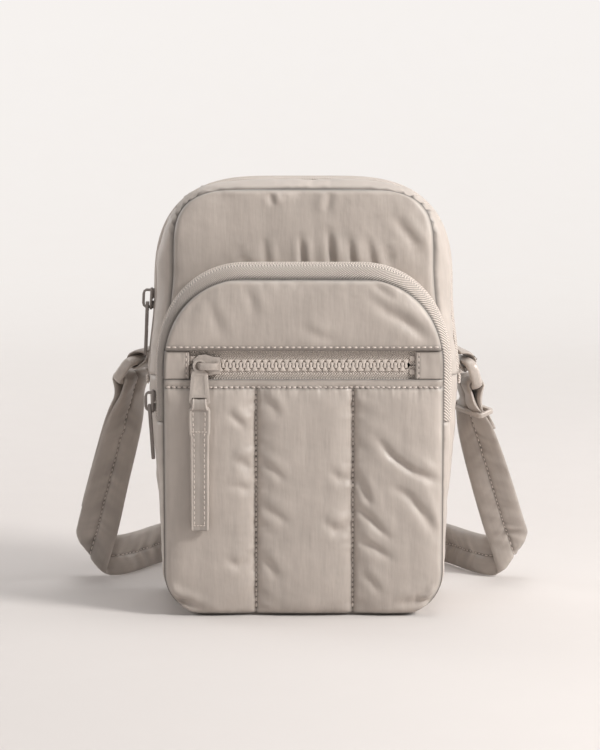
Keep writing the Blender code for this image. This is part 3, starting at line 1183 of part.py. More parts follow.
def strap_adjuster(centre, width, heading):
    """A slim moulded frame round both layers of the strap."""
    width = width - heading * np.dot(width, heading)
    width /= np.linalg.norm(width)
    through = np.cross(heading, width)
    place = Matrix((tuple(width), tuple(through), tuple(heading))).transposed().to_4x4()
    place.translation = Vector(centre)
    long, high, bar = ADJUSTER_WIDTH / 2, ADJUSTER_HEIGHT / 2, ADJUSTER_BAR
    corner = bar * ADJUSTER_CORNER_SHARE
    outer = [(-long, -high + corner), (-long + corner, -high), (long - corner, -high),
             (long, -high + corner), (long, high - corner), (long - corner, high),
             (-long + corner, high), (-long, high - corner)]
    inner = [(-long + bar, -high + bar), (long - bar, -high + bar), (long - bar, high - bar),
             (-long + bar, high - bar)]
    thick = ADJUSTER_CHEEK / 2
    body = prism("strap_adjuster", outer, -thick, thick, RING_COAT, place)
    hole = prism("strap_adjuster_guide", inner, -thick - CUT_OVERRUN, thick + CUT_OVERRUN,
                 RING_COAT, place)
    return combine(body, [hole], "DIFFERENCE")


def stored_strap():
    """The length that the view doesn't show: a zigzag of runs standing on edge behind."""
    z = STRAP_WIDTH / 2 + FLOOR_CLEARANCE
    radius = STACK_PITCH / 2
    end_x, end_y = MAIN_WAIST_HALF + LEAD_KEYS[-1][0], LEAD_KEYS[-1][1]
    half_length = end_x - STACK_END_GAP
    spots = [(-end_x + SEAM_GAP, end_y + SEAM_GAP)]
    spots += [(-end_x + STACK_PITCH * along, end_y + radius * across)
              for along, across in STACK_ENTRY_SHARES]
    for run in range(STACK_RUNS):
        way = 1 if run % 2 == 0 else -1
        y = STACK_REAR_Y - run * STACK_PITCH
        spots += [(-way * half_length, y), (0.0, y), (way * half_length, y)]
        if run < STACK_RUNS - 1:
            spots += [(way * (half_length + radius * math.sin(angle)),
                       y - radius + radius * math.cos(angle)) for angle in STACK_TURN_ANGLES]
    # The last run goes round the right-hand end and back to meet the other fall.
    front_y = STACK_REAR_Y - (STACK_RUNS - 1) * STACK_PITCH
    out = end_x - STACK_PITCH - radius
    spots += [(out + radius * across, front_y + radius * along)
              for across, along in STACK_CORNER_SHARES]
    spots.append((out, end_y - radius))
    spots += [(out + STACK_PITCH * across, end_y + radius * along)
              for across, along in STACK_EXIT_SHARES]
    tip_across, tip_along = STACK_TIP_SHARES
    spots += [(end_x - radius * tip_across, end_y + radius * tip_along),
              (end_x - SEAM_GAP, end_y + SEAM_GAP)]
    return [(np.array((x, y, z)), np.array((0.0, 0.0, -1.0)), STRAP_WIDTH / 2) for x, y in spots]


def strap():
    """Rings, sewn tabs, the two falls, the stack behind the bag and the adjuster."""
    left = ring_frame(LEFT_RING_CENTRE, LEFT_RING_TURN, LEFT_RING_LEAN, -1)
    right = ring_frame(RIGHT_RING_CENTRE, RIGHT_RING_TURN, RIGHT_RING_LEAN, 1)
    for side, frame, word in ((-1, left, "left"), (1, right, "right")):
        strap_ring(f"strap_ring_{word}", frame)
        sewn_tab(f"strap_tab_{word}", frame, side)
    left_rows, _ = strap_fall(-1, left, LEFT_FALL_KEYS, LEFT_FALL_TURNS,
                              LEFT_FOLD_OUT, LEFT_DOUBLED)
    right_rows, hold = strap_fall(1, right, RIGHT_FALL_KEYS, RIGHT_FALL_TURNS,
                                  RIGHT_FOLD_OUT, RIGHT_DOUBLED)
    band_solid("strap_fall_left", left_rows, WEBBING)
    band_solid("strap_fall_right", right_rows, WEBBING)
    strap_adjuster(*hold)
    ribbon("strap_stored", stored_strap(), STRAP_WALL, WEBBING)


def main():
    """Clear the scene and build every piece."""
    for thing in list(bpy.data.objects):
        bpy.data.objects.remove(thing)
    main_middle = body_shell()
    pocket_middle = pocket_shell()
    pocket_front()
    front_chain("front_zip_upper_chain", 1)
    front_chain("front_zip_lower_chain", -1)
    pouch()
    chain_y = POCKET_PANEL_REAR_Y + SEAM_GAP + TAPE_WALL / 2
    # Local x along the window, local y up, local z out of the bag's front.
    face = Matrix(((1.0, 0.0, 0.0), (0.0, 0.0, -1.0), (0.0, 1.0, 0.0))).to_4x4()
    chain_centre = Vector((FRONT_SLIDER_X, chain_y, CHAIN_Z))
    place = Matrix.Translation(chain_centre) @ face
    body = slider("front_zip_slider", place, 1.0, FRONT_BAIL_WIDTH, FRONT_BAIL_RISE,
                  FRONT_BAIL_SHIFT, CAST_SLIDER)
    set_origin(body, chain_centre)
    # The puller turns on the bail's left post, midway between the plate and the bar.
    out = SLIDER_CHANNEL / 2 + SLIDER_PLATE + (FRONT_BAIL_RISE - BAIL_BAR) / 2
    post = FRONT_BAIL_SHIFT - BAIL_LENGTH / 2 + BAIL_BAR / 2
    pivot = place @ Vector((post, 0.0, out))
    hang, slot_z = front_puller(pivot)
    tab_pivot = pull_tab(hang, slot_z)
    main_pivot = side_zip("main_zip", main_outline, main_middle, MAIN_SLIDER_Z,
                          MAIN_BAIL_RISE, MAIN_PULLER_TUCK, DARK_SLIDER)
    pocket_pivot = side_zip("pocket_zip", pocket_outline, pocket_middle, POCKET_SLIDER_Z,
                            POCKET_BAIL_RISE, POCKET_PULLER_TUCK, DARK_SLIDER)
    strap()
    bpy.context.view_layer.update()
    for word, spot in (("front puller", pivot), ("pull tab", tab_pivot), ("main puller", main_pivot),
                       ("pocket puller", pocket_pivot)):
        print(word, "pivot", [round(value, 5) for value in spot])


main()
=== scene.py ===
# %% [markdown]
# **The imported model.** A small crossbody bag, already built as solids in one frame, is loaded
# and left as it is. Every sewn piece is made again here with padding, folds, stitches and
# weave, because solids alone can't show soft cloth. Sizes are metres in the model's frame.

import math

import bmesh
import bpy
import numpy as np
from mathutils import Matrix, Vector, noise


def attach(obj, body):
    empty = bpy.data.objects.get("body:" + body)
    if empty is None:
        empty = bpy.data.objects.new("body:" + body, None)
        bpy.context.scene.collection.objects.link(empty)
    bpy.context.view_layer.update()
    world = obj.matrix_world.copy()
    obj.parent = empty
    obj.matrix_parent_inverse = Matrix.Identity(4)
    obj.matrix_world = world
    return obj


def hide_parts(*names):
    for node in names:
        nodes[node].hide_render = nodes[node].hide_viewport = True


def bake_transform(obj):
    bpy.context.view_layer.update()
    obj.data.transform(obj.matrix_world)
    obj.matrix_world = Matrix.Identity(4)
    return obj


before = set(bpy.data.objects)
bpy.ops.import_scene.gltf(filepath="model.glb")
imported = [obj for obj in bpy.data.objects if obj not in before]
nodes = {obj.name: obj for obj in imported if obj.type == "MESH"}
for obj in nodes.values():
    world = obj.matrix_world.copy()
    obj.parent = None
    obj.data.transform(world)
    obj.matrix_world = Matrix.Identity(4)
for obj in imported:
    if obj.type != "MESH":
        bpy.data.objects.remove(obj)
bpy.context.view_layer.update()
scene = bpy.context.scene


def placed(name, data):
    """A new object in the scene."""
    made = bpy.data.objects.new(name, data)
    scene.collection.objects.link(made)
    return made


# %% [markdown]
# ** Camera.** The photograph looks slightly down at the bag through a long lens. A camera set by
# eye would do for one picture, but place, tilt and lens are given so that the bag's outline
# falls on the photograph's, and the two can be laid over each other.

# %% Camera
eye = bpy.data.cameras.new("camera")
eye.lens, eye.sensor_width, eye.sensor_fit = 124.43, 36.0, "AUTO"
eye.clip_start, eye.clip_end = 0.05, 20.0
camera = placed("camera", eye)
camera.location = (-0.0003, -1.3132, 0.2738)
camera.rotation_euler = (math.radians(90 - 6.773), 0.0, math.radians(0.064))
scene.camera = camera
scene.view_settings.view_transform = "Standard"
print("camera", [round(v, 4) for v in camera.location])

# %% [markdown]
# **Materials.** The cloth is crinkled satin nylon, the zips have woven tapes and moulded teeth,
# and the hardware is cast metal under a satin coat. Pictures of cloth could be laid on, but
# node patterns stay sharp close up and follow each piece's own threads.

# %% Materials by node graphs
class Graph:
    """A small helper that builds one node material."""

    def __init__(self, name):
        self.material = bpy.data.materials.new(name)
        self.material.use_nodes = True
        self.tree = self.material.node_tree
        self.shader = self.tree.nodes["Principled BSDF"]
        self.coords = self.tree.nodes.new("ShaderNodeTexCoord")

    def node(self, kind, inputs=None, **settings):
        made = self.tree.nodes.new(kind)
        for name, value in settings.items():
            setattr(made, name, value)
        for name, value in (inputs or {}).items():
            self.put(made.inputs[name], value)
        return made

    def put(self, socket, value):
        if isinstance(value, bpy.types.NodeSocket):
            self.tree.links.new(value, socket)
        else:
            socket.default_value = value

    def mapped(self, source, scale, rotation=(0.0, 0.0, 0.0)):
        made = self.node("ShaderNodeMapping", {"Vector": self.coords.outputs[source]})
        made.inputs["Scale"].default_value = scale
        made.inputs["Rotation"].default_value = rotation
        return made.outputs["Vector"]

    def noise(self, vector, scale, detail=2.0, rough=0.5):
        made = self.node("ShaderNodeTexNoise", {"Vector": vector, "Scale": scale,
                                                "Detail": detail, "Roughness": rough})
        return made.outputs["Fac"]

    def wave(self, vector, scale, direction="X", distortion=0.0, profile="SIN"):
        made = self.node("ShaderNodeTexWave", {"Vector": vector, "Scale": scale,
                                               "Distortion": distortion, "Detail": 0.0},
                         wave_type="BANDS", bands_direction=direction, wave_profile=profile)
        return made.outputs["Fac"]

    def math(self, operation, a, b=0.0, c=0.0):
        made = self.node("ShaderNodeMath", operation=operation)
        for socket, value in zip(made.inputs, (a, b, c)):
            self.put(socket, value)
        return made.outputs[0]

    def ramp(self, value, low, high, out_low=0.0, out_high=1.0):
        made = self.node("ShaderNodeMapRange", {"Value": value, "From Min": low, "From Max": high,
                                                "To Min": out_low, "To Max": out_high})
        return made.outputs[0]

    def colours(self, value, dark, light):
        made = self.node("ShaderNodeMix", data_type="RGBA")
        self.put(made.inputs[0], value)
        self.put(made.inputs[6], (*dark, 1.0))
        self.put(made.inputs[7], (*light, 1.0))
        return made.outputs[2]

    def bumps(self, *layers):
        """Stack bumps, each a (height, distance, strength), and feed the shader's normal."""
        normal = None
        for height, distance, strength in layers:
            made = self.node("ShaderNodeBump", {"Height": height, "Distance": distance,
                                                "Strength": strength})
            if normal is not None:
                self.put(made.inputs["Normal"], normal)
            normal = made.outputs["Normal"]
        self.put(self.shader.inputs["Normal"], normal)

    def set(self, **values):
        for name, value in values.items():
            self.put(self.shader.inputs[name.replace("_", " ")], value)
        return self.material


def shade(colour, factor):
    """A colour made lighter or darker."""
    return tuple(min(channel * factor, 1.0) for channel in colour)


def apply_painted_shading(g, base):
    """Paint shade into a colour where the mesh marks a seam or a stitch hole, and a highlight where
    the mark is below 0.
    """
    painted_shading = g.node("ShaderNodeAttribute", attribute_name="painted_shading", attribute_type="GEOMETRY")
    keep = g.math("MULTIPLY_ADD", painted_shading.outputs["Fac"], -0.88, 1.0)
    made = g.node("ShaderNodeVectorMath", {0: base}, operation="SCALE")
    g.put(made.inputs["Scale"], keep)
    return made.outputs[0]


def nylon(name, colour, source="Object", along="Z", crinkle=1.0, sheen=0.18):
    """Crinkled satin nylon: faint streaks along the cloth, a tight weave and a soft sheen."""
    g = Graph(name)
    stretched = {"Z": 2, "X": 0, "V": 0}[along]

    def streaks(fine, long, detail, rough):
        scale = [fine] * 3
        scale[stretched] = long
        return g.noise(g.mapped(source, scale), 1.0, detail, rough)

    cloth = g.coords.outputs[source]
    fine, broad = streaks(850.0, 60.0, 2.0, 0.55), streaks(210.0, 34.0, 3.0, 0.55)
    mottled = g.noise(cloth, 55.0, 3.0)
    second = "Z" if source == "Object" else "Y"
    threads = g.math("MULTIPLY", g.wave(cloth, 2300.0, "X"), g.wave(cloth, 2300.0, second))
    patchy = g.ramp(g.noise(cloth, 38.0, 2.0), 0.42, 0.60)
    lines = g.math("MULTIPLY", g.math("SUBTRACT", fine, 0.5), patchy)
    blend = g.math("ADD", g.math("MULTIPLY", lines, 0.32), g.math("MULTIPLY", broad, 0.45))
    blend = g.math("ADD", blend, g.math("MULTIPLY", mottled, 0.55))
    base = g.colours(g.ramp(blend, 0.34, 0.66), shade(colour, 0.90), shade(colour, 1.08))
    g.bumps((broad, 0.0006 * crinkle, 0.5), (mottled, 0.0022 * crinkle, 0.35),
            (lines, 0.0001 * crinkle, 0.5), (threads, 0.00001, 0.2))
    # The base colour carries painted shade in seams and stitch holes, and painted highlights on
    # raised edges.
    return g.set(Base_Color=apply_painted_shading(g, base), Roughness=g.ramp(broad, 0.3, 0.7, 0.40, 0.52),
                 Sheen_Weight=sheen, Sheen_Roughness=0.4, Specular_IOR_Level=0.5)


def twill(name, colour, pitch, width, deep):
    """Woven tape: slanting ribs that turn along lines, as herringbone does."""
    g = Graph(name)
    uv = g.node("ShaderNodeSeparateXYZ", {"Vector": g.coords.outputs["UV"]})
    leaning = g.math("PINGPONG", uv.outputs[1], width)
    turns = g.math("MULTIPLY", g.math("ADD", uv.outputs[0], leaning), 2 * math.pi / pitch)
    rib = g.math("MULTIPLY_ADD", g.math("SINE", turns), 0.5, 0.5)
    against = g.math("SUBTRACT", uv.outputs[0], leaning)
    yarn = g.math("SINE", g.math("MULTIPLY", against, 2 * math.pi / (pitch * 0.45)))
    yarn = g.math("MULTIPLY_ADD", yarn, 0.5, 0.5)
    grit = g.noise(g.mapped("UV", (1500.0, 1500.0, 1500.0)), 1.0, 2.0)
    value = g.math("ADD", g.math("MULTIPLY", rib, 0.72), g.math("MULTIPLY", grit, 0.28))
    # The rib valleys are painted darker and the crests lighter: painted shade and painted highlight
    # that follow the bump.
    base = g.colours(g.ramp(value, 0.15, 0.8), shade(colour, 1 - 0.5 * deep),
                     shade(colour, 1 + 0.2 * deep))
    g.bumps((rib, 0.0004, 0.9), (yarn, 0.00008, 0.5), (grit, 0.00006, 0.4))
    return g.set(Base_Color=apply_painted_shading(g, base), Roughness=0.6, Sheen_Weight=0.15,
                 Specular_IOR_Level=0.35)


def plastic(name, colour, rough=0.36):
    """Moulded plastic with a faint grain and worn edges."""
    g = Graph(name)
    grain = g.noise(g.coords.outputs["Object"], 2600.0, 2.0)
    patches = g.noise(g.coords.outputs["Object"], 220.0, 2.0)
    base = g.colours(g.ramp(patches, 0.3, 0.7), shade(colour, 0.93), shade(colour, 1.06))
    g.bumps((grain, 0.00003, 0.3))
    return g.set(Base_Color=base, Roughness=g.ramp(patches, 0.3, 0.7, rough - 0.05, rough + 0.07),
                 Specular_IOR_Level=0.5)


def coated_metal(name, colour, metallic, rough):
    """Cast metal under a satin coat, with small scuffs."""
    g = Graph(name)
    scuffs = g.noise(g.mapped("Object", (900.0, 900.0, 300.0)), 1.0, 4.0, 0.6)
    grain = g.noise(g.coords.outputs["Object"], 3200.0, 2.0)
    base = g.colours(g.ramp(scuffs, 0.3, 0.72), shade(colour, 0.9), shade(colour, 1.1))
    g.bumps((scuffs, 0.00004, 0.3), (grain, 0.00002, 0.25))
    return g.set(Base_Color=base, Roughness=g.ramp(scuffs, 0.3, 0.7, rough - 0.06, rough + 0.08),
                 Metallic=metallic, Coat_Weight=0.15, Coat_Roughness=0.25)


def thread(name, colour):
    """Sewing thread: two plies wound round each other."""
    g = Graph(name)
    plies = g.wave(g.mapped("Object", (1.0, 1.0, 1.0), (0.0, 0.6, 0.4)), 700.0, "DIAGONAL")
    # The grooves between the plies are painted darker: painted shade that follows the bump.
    base = g.colours(g.ramp(plies, 0.2, 0.8), shade(colour, 0.8), shade(colour, 1.05))
    g.bumps((plies, 0.00006, 0.6))
    return g.set(Base_Color=base, Roughness=0.5, Sheen_Weight=0.2)


FRONT = (0.478, 0.420, 0.376)
NYLON = nylon("front_nylon", FRONT)
SIDE_NYLON = nylon("side_nylon", shade(FRONT, 1.03), "UV", "V", 0.7)
STRAP_NYLON = nylon("strap_nylon", shade(FRONT, 0.84), "UV", "V", 0.8)
TAB_NYLON = nylon("pull_tab_nylon", shade(FRONT, 0.76), "UV", "V", 0.5)
LINING = nylon("lining_nylon", shade(FRONT, 0.6), "Object", "X", 0.5)
BAND = twill("band_twill", shade(FRONT, 1.27), 0.0015, 0.0036, 0.9)
TAPE = twill("tape_twill", shade(FRONT, 1.42), 0.0013, 0.0022, 0.6)
TEETH = plastic("moulded_teeth", shade(FRONT, 1.34))
CAST = coated_metal("cast_slider", shade(FRONT, 0.95), 0.2, 0.34)
DARK = coated_metal("dark_slider", (0.20, 0.175, 0.16), 0.55, 0.36)
COAT = coated_metal("ring_coat", shade(FRONT, 0.98), 0.1, 0.36)
THREAD = thread("thread", (0.70, 0.61, 0.55))
print("materials", len(bpy.data.materials))

# %% [markdown]
# ** Studio.** The bag stands on pale paper in soft light from the right. A flat floor would end
# in a horizon, so the sheet curves up behind the bag. Lamps on every side and an even world
# keep the shadows open. The paper is painted darker near the bag, a painted shade, and far off
# it glows pale to the camera from every side.

# %% Floor, lamps and world
PALE = (0.925, 0.890, 0.865)


def backdrop():
    """A floor that curves up into a wall behind the bag."""
    profile = [(-3.0, 0.0), (1.2, 0.0)]
    profile += [(1.2 + 0.8 * math.sin(a), 0.8 - 0.8 * math.cos(a))
                for a in np.linspace(0.1, math.pi / 2, 14)]
    profile += [(2.0, 3.5)]
    points = [(x, y, z) for y, z in profile for x in (-4.0, 4.0)]
    faces = [(2 * i, 2 * i + 1, 2 * i + 3, 2 * i + 2) for i in range(len(profile) - 1)]
    mesh = bpy.data.meshes.new("floor")
    mesh.from_pydata(points, [], faces)
    mesh.shade_smooth()
    made = placed("floor", mesh)
    g = Graph("floor_paper")
    grain = g.math("MULTIPLY_ADD", g.noise(g.coords.outputs["Object"], 40.0, 3.0), 0.1, -0.05)
    reach = g.node("ShaderNodeVectorMath", {0: g.coords.outputs["Object"]}, operation="LENGTH")
    share = g.math("ADD", g.ramp(reach.outputs["Value"], 0.3, 1.9), grain)
    base = g.colours(share, (0.690, 0.650, 0.628), (0.880, 0.850, 0.832))
    g.set(Base_Color=base, Roughness=0.9, Specular_IOR_Level=0.1)
    # Painted shade darkens the paper near the bag; far off it glows pale to the camera, so every
    # side has a pale background.
    far = g.ramp(reach.outputs["Value"], 0.55, 1.5)
    glow = g.node("ShaderNodeEmission", {"Color": g.colours(share, (0.80, 0.745, 0.70), PALE)})
    both = g.node("ShaderNodeMixShader", {0: g.math("MULTIPLY", far, seen_ray(g.tree)),
                                          1: g.shader.outputs[0], 2: glow.outputs[0]})
    g.put(g.tree.nodes["Material Output"].inputs["Surface"], both.outputs[0])
    made.data.materials.append(g.material)


def seen_ray(tree):
    """1 for rays that the camera, a mirror or glass sends out, 0 for rays that carry light."""
    path = tree.nodes.new("ShaderNodeLightPath")
    total = path.outputs["Is Camera Ray"]
    for name in ("Is Glossy Ray", "Is Transmission Ray"):
        add = tree.nodes.new("ShaderNodeMath")
        add.operation = "MAXIMUM"
        tree.links.new(total, add.inputs[0])
        tree.links.new(path.outputs[name], add.inputs[1])
        total = add.outputs[0]
    return total


def lamp(name, spot, aim, size, power, colour=(1.0, 1.0, 1.0)):
    """A square soft lamp aimed at a point."""
    light = bpy.data.lights.new(name, "AREA")
    light.shape, light.size, light.energy, light.color = "SQUARE", size, power, colour
    made = placed(name, light)
    made.location = spot
    way = Vector(aim) - Vector(spot)
    made.rotation_euler = way.to_track_quat("-Z", "Y").to_euler()


backdrop()
lamp("key_right", (1.0, -0.57, 0.80), (0.0, 0.0, 0.1), 0.32, 16.0, (1.0, 0.985, 0.965))
lamp("side_right", (1.8, 0.15, 0.7), (0.0, 0.0, 0.1), 0.7, 10.0)
lamp("fill_left", (-1.3, -1.5, 0.7), (0.0, 0.0, 0.1), 1.0, 2.4)
lamp("top", (0.1, 0.1, 1.9), (0.0, 0.0, 0.0), 1.0, 9.0)
lamp("side_left", (-1.2, 0.7, 0.6), (0.0, 0.05, 0.08), 0.7, 5.0)
lamp("wash", (0.0, 0.9, 1.7), (0.0, 2.0, 0.75), 1.4, 8.0)
world = bpy.data.worlds.new("world")
world.use_nodes = True
sky = world.node_tree
light = sky.nodes["Background"]
light.inputs["Color"].default_value = (1.0, 0.985, 0.97, 1.0)
light.inputs["Strength"].default_value = 0.26
shown = sky.nodes.new("ShaderNodeBackground")
shown.inputs["Color"].default_value = (*PALE, 1.0)
either = sky.nodes.new("ShaderNodeMixShader")
sky.links.new(seen_ray(sky), either.inputs[0])
sky.links.new(light.outputs[0], either.inputs[1])
sky.links.new(shown.outputs[0], either.inputs[2])
sky.links.new(either.outputs[0], sky.nodes["World Output"].inputs["Surface"])
scene.world = world

# %% [markdown]
# **Outlines.** The bag is an upright rounded shape, wider at the waist, that swells between its
# two seams. It could be traced as fixed points, but an outline by a few values gives any depth
# and any density of points, so strips and panels meet as the model's solids do.

# %% Outlines
def ease(share):
    """Smooth step from 0 to 1, for a number or an array."""
    share = np.clip(share, 0.0, 1.0)
    return share * share * (3.0 - 2.0 * share)


def mix(low, high, share):
    return low + (high - low) * share


class Outline:
    """The bag's upright outline at one depth."""

    NAMES = ("base", "waist", "top", "top_z", "low_corner", "arch_width", "arch_height", "power",
             "waist_z", "shoulder_z")

    def __init__(self, *values):
        self.values = np.array(values, float)
        for name, value in zip(self.NAMES, values):
            setattr(self, name, value)

    def towards(self, other, share):
        return Outline(*mix(self.values, other.values, share))

    def half(self, z):
        low = self.low_corner
        below = mix(self.base, self.waist, ease((z - low) / (self.waist_z - low)))
        above = mix(self.waist, self.top,
                    ease((z - self.waist_z) / (self.shoulder_z - self.waist_z)))
        return np.where(z < self.waist_z, below, above)

    def corner(self, steps):
        a = np.linspace(0.0, math.pi / 2, steps + 1)
        return np.stack([self.base - self.low_corner * (1 - np.sin(a)),
                         self.low_corner * (1 - np.cos(a))], 1)

    def arch(self, steps):
        a = np.linspace(0.0, math.pi / 2, steps + 1)
        bent = 2 / self.power
        x = self.top - self.arch_width + self.arch_width * np.maximum(np.cos(a), 0) ** bent
        z = self.top_z - self.arch_height + self.arch_height * np.sin(a) ** bent
        return np.stack([x, z], 1)

    def side(self, low, high, steps):
        z = np.linspace(low, high, steps + 1)
        return np.stack([self.half(z), z], 1)

    def lower(self, split, steps=(18, 12, 36)):
        """From the left end at the split round the bottom to the right end."""
        floor, corner, side = steps
        flat = np.stack([np.linspace(0, self.base - self.low_corner, floor + 1)[:-1],
                         np.zeros(floor)], 1)
        right = np.concatenate([flat, self.corner(corner),
                                self.side(self.low_corner, split, side)[1:]])
        return np.concatenate([(right[1:] * (-1, 1))[::-1], right])

    def upper(self, split, steps=(30, 22, 16)):
        """From the right end at the split over the top to the left end."""
        side, arch, top = steps
        curve = self.arch(arch)
        flat = np.stack([np.linspace(curve[-1, 0], 0, top + 1)[1:], np.full(top, self.top_z)], 1)
        right = np.concatenate([self.side(split, curve[0, 1], side)[:-1], curve, flat])
        return np.concatenate([right, (right[:-1] * (-1, 1))[::-1]])

    def rows(self, low, high, step):
        """Half width and height of rows between two heights, closer together at the corners."""
        corner, arch = self.corner(12), self.arch(24)[:-1]
        side = self.side(corner[-1, 1], arch[0, 1], int((arch[0, 1] - corner[-1, 1]) / step))
        crown = [[self.top - self.arch_width, self.top_z]]
        line = np.concatenate([corner, side[1:-1], arch, crown])
        inner = line[(line[:, 1] > low + step / 3) & (line[:, 1] < high - step / 3)]
        reach = lambda z: (float(np.interp(z, line[:, 1], line[:, 0])), z)
        return np.array([reach(low), *inner.tolist(), reach(high)])


MAIN_SEAM = Outline(0.070, 0.0715, 0.0662, 0.213, 0.022, 0.050, 0.038, 3.8, 0.118, 0.175)
MAIN_CREST = Outline(0.0735, 0.0793, 0.0758, 0.2179, 0.0255, 0.060, 0.058, 2.8, 0.118, 0.1599)
POCKET_SEAM = Outline(0.070, 0.070, 0.070, 0.1695, 0.022, 0.042, 0.045, 2.15, 0.098, 0.1245)
POCKET_CREST = Outline(0.071, 0.0735, 0.0735, 0.1763, 0.023, 0.0455, 0.0518, 2.15, 0.098, 0.1245)
POCKET_BACK = POCKET_SEAM.towards(POCKET_CREST, 0.3)
POCKET_BACK.top_z, POCKET_BACK.arch_height = 0.1763, 0.0518
MAIN_FRONT_Y, MAIN_REAR_Y = -0.0043, 0.0337
POCKET_FRONT_Y, POCKET_REAR_Y = -0.0313, -0.0073
BAND_DEPTH, POCKET_DEPTH = 0.0098, 0.024
SEAM_HALF = 0.070  # half the width of every panel near its base


def main_outline(y):
    off = abs(2.0 * (y - MAIN_FRONT_Y) / (MAIN_REAR_Y - MAIN_FRONT_Y) - 1.0)
    return MAIN_SEAM.towards(MAIN_CREST, max(0.0, 1.0 - off ** 3.0) ** 0.8)


def pocket_outline(y):
    risen, end = POCKET_FRONT_Y + BAND_DEPTH * 0.55, POCKET_FRONT_Y + POCKET_DEPTH * 0.66
    if y < risen:
        share = (y - POCKET_FRONT_Y) / (risen - POCKET_FRONT_Y)
        return POCKET_SEAM.towards(POCKET_CREST, math.sin(math.pi / 2 * share))
    if y < end:
        return POCKET_CREST
    return POCKET_CREST.towards(POCKET_BACK, float(ease((y - end) / (POCKET_REAR_Y - end))))


print("main outline rows", len(MAIN_SEAM.rows(0.0006, 0.213, 0.002)))

# %% [markdown]
# **Cloth as closed grids.** Sewn strips and panels are thin and have two faces. One sheet with
# a thickness modifier would do, but an outer and an inner grid closed by a rim let each seam be
# rolled in, and carry flat cloth coordinates for the weave.

# %% Mesh helpers
# Painted shade on the inner skin of a lined piece, as if it lay in the dark.
IN_THE_DARK = 0.7


def travelled(line):
    """Distance along a line at each of its points."""
    return np.concatenate([[0], np.cumsum(np.linalg.norm(np.diff(line, axis=0), axis=1))])


def normed(ways):
    """The same directions at length 1."""
    return ways / np.linalg.norm(ways, axis=-1, keepdims=True)


def quads_of(rows, columns):
    """Point numbers of a grid, and its faces."""
    index = np.arange(rows * columns).reshape(rows, columns)
    faces = np.stack([index[:-1, :-1], index[:-1, 1:], index[1:, 1:], index[1:, :-1]], -1)
    return index, faces.reshape(-1, 4)


def closed_grid(name, outer, inner, material, uv, painted_shading=None, lined=True):
    """A closed solid between two grids of points (rows, columns, 3), with flat cloth coordinates.

    Each spot of the skin carries painted shade from 0 to 1 where it lies down in a seam or a stitch
    hole, and a painted highlight below 0. The inner skin gets painted shade unless the piece isn't
    lined.
    """
    rows, columns = outer.shape[:2]
    index, front = quads_of(rows, columns)
    loop = np.concatenate([index[0, :-1], index[:-1, -1], index[-1, :0:-1], index[:0:-1, 0]])
    after = np.roll(loop, -1)
    rim = np.stack([after, loop, loop + rows * columns, after + rows * columns], -1)
    points = np.concatenate([outer.reshape(-1, 3), inner.reshape(-1, 3)])
    faces = np.concatenate([front, front[:, ::-1] + rows * columns, rim])
    made = solid(name, points, faces, material)
    lay_flat(made, np.concatenate([uv.reshape(-1, 2)] * 2))
    if painted_shading is not None:
        skin = np.broadcast_to(painted_shading, outer.shape[:2]).ravel()
        both = np.concatenate([skin, np.full(rows * columns, IN_THE_DARK) if lined else skin])
        layer = made.data.attributes.new("painted_shading", "FLOAT", "POINT")
        layer.data.foreach_set("value", np.clip(both, -0.5, 1).astype(np.float32))
    return made


def solid(name, points, faces, material):
    """One mesh object with its faces turned outwards."""
    mesh = bpy.data.meshes.new(name)
    mesh.from_pydata(np.asarray(points).tolist(), [], [tuple(int(i) for i in f) for f in faces])
    work = bmesh.new()
    work.from_mesh(mesh)
    bmesh.ops.recalc_face_normals(work, faces=work.faces)
    work.to_mesh(mesh)
    work.free()
    mesh.materials.append(material)
    mesh.shade_smooth()
    return placed(name, mesh)


def only_material(mesh, material):
    """Give a mesh one material on all its faces."""
    mesh.materials.clear()
    mesh.materials.append(material)
    mesh.polygons.foreach_set("material_index", np.zeros(len(mesh.polygons), np.int32))


def lay_flat(made, flat):
    """Write each corner's place on the flat cloth."""
    layer = made.data.uv_layers.new(name="cloth")
    corners = np.empty(len(made.data.loops), np.int32)
    made.data.loops.foreach_get("vertex_index", corners)
    layer.data.foreach_set("uv", flat[corners].astype(np.float32).ravel())


def rumple(points, scale, seed):
    """Smooth noise from -1 to 1 at each point, the same on every run."""
    shift = Vector((seed * 17.3, seed * 5.1, seed * 9.7))
    return np.array([noise.noise(Vector(p) * scale + shift) for p in points.reshape(-1, 3)]
                    ).reshape(points.shape[:-1])


def away(x, z, line):
    """Distance of each (x, z) from a broken line, and how far along it the nearest spot is."""
    best, along = np.full(x.shape, 1e9), np.zeros(x.shape)
    for i in range(len(line) - 1):
        (ax, az), (bx, bz) = line[i], line[i + 1]
        span = (bx - ax) ** 2 + (bz - az) ** 2
        t = np.clip(((x - ax) * (bx - ax) + (z - az) * (bz - az)) / span, 0, 1)
        d = np.hypot(x - ax - t * (bx - ax), z - az - t * (bz - az))
        along = np.where(d < best, (i + t) / (len(line) - 1), along)
        best = np.minimum(best, d)
    return best, along


def folded(x, z, folds):
    """Height of sculpted folds: each is (line, depth, width), a valley with a ridge above it."""
    total = np.zeros(x.shape)
    for line, depth, width in folds:
        d, t = away(x, z, line)
        fade = np.sin(np.pi * np.clip(t, 0.02, 0.98)) ** 0.7
        upper = np.interp(x, sorted(p[0] for p in line), [p[1] for p in sorted(line)])
        valley = -np.exp(-(d / width) ** 2)
        ridge = 0.8 * np.exp(-((d - 2.2 * width) / (1.3 * width)) ** 2)
        ridge = ridge * np.where(z > upper, 1.0, 0.35)
        total += depth * fade * (valley + ridge)
    return total


def ride(made, body="bag", *replaced):
    """Let a piece move with a body, and stand for model nodes."""
    if body:
        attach(made, body)
    if replaced:
        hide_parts(*replaced)
    return made


print("helpers ready")

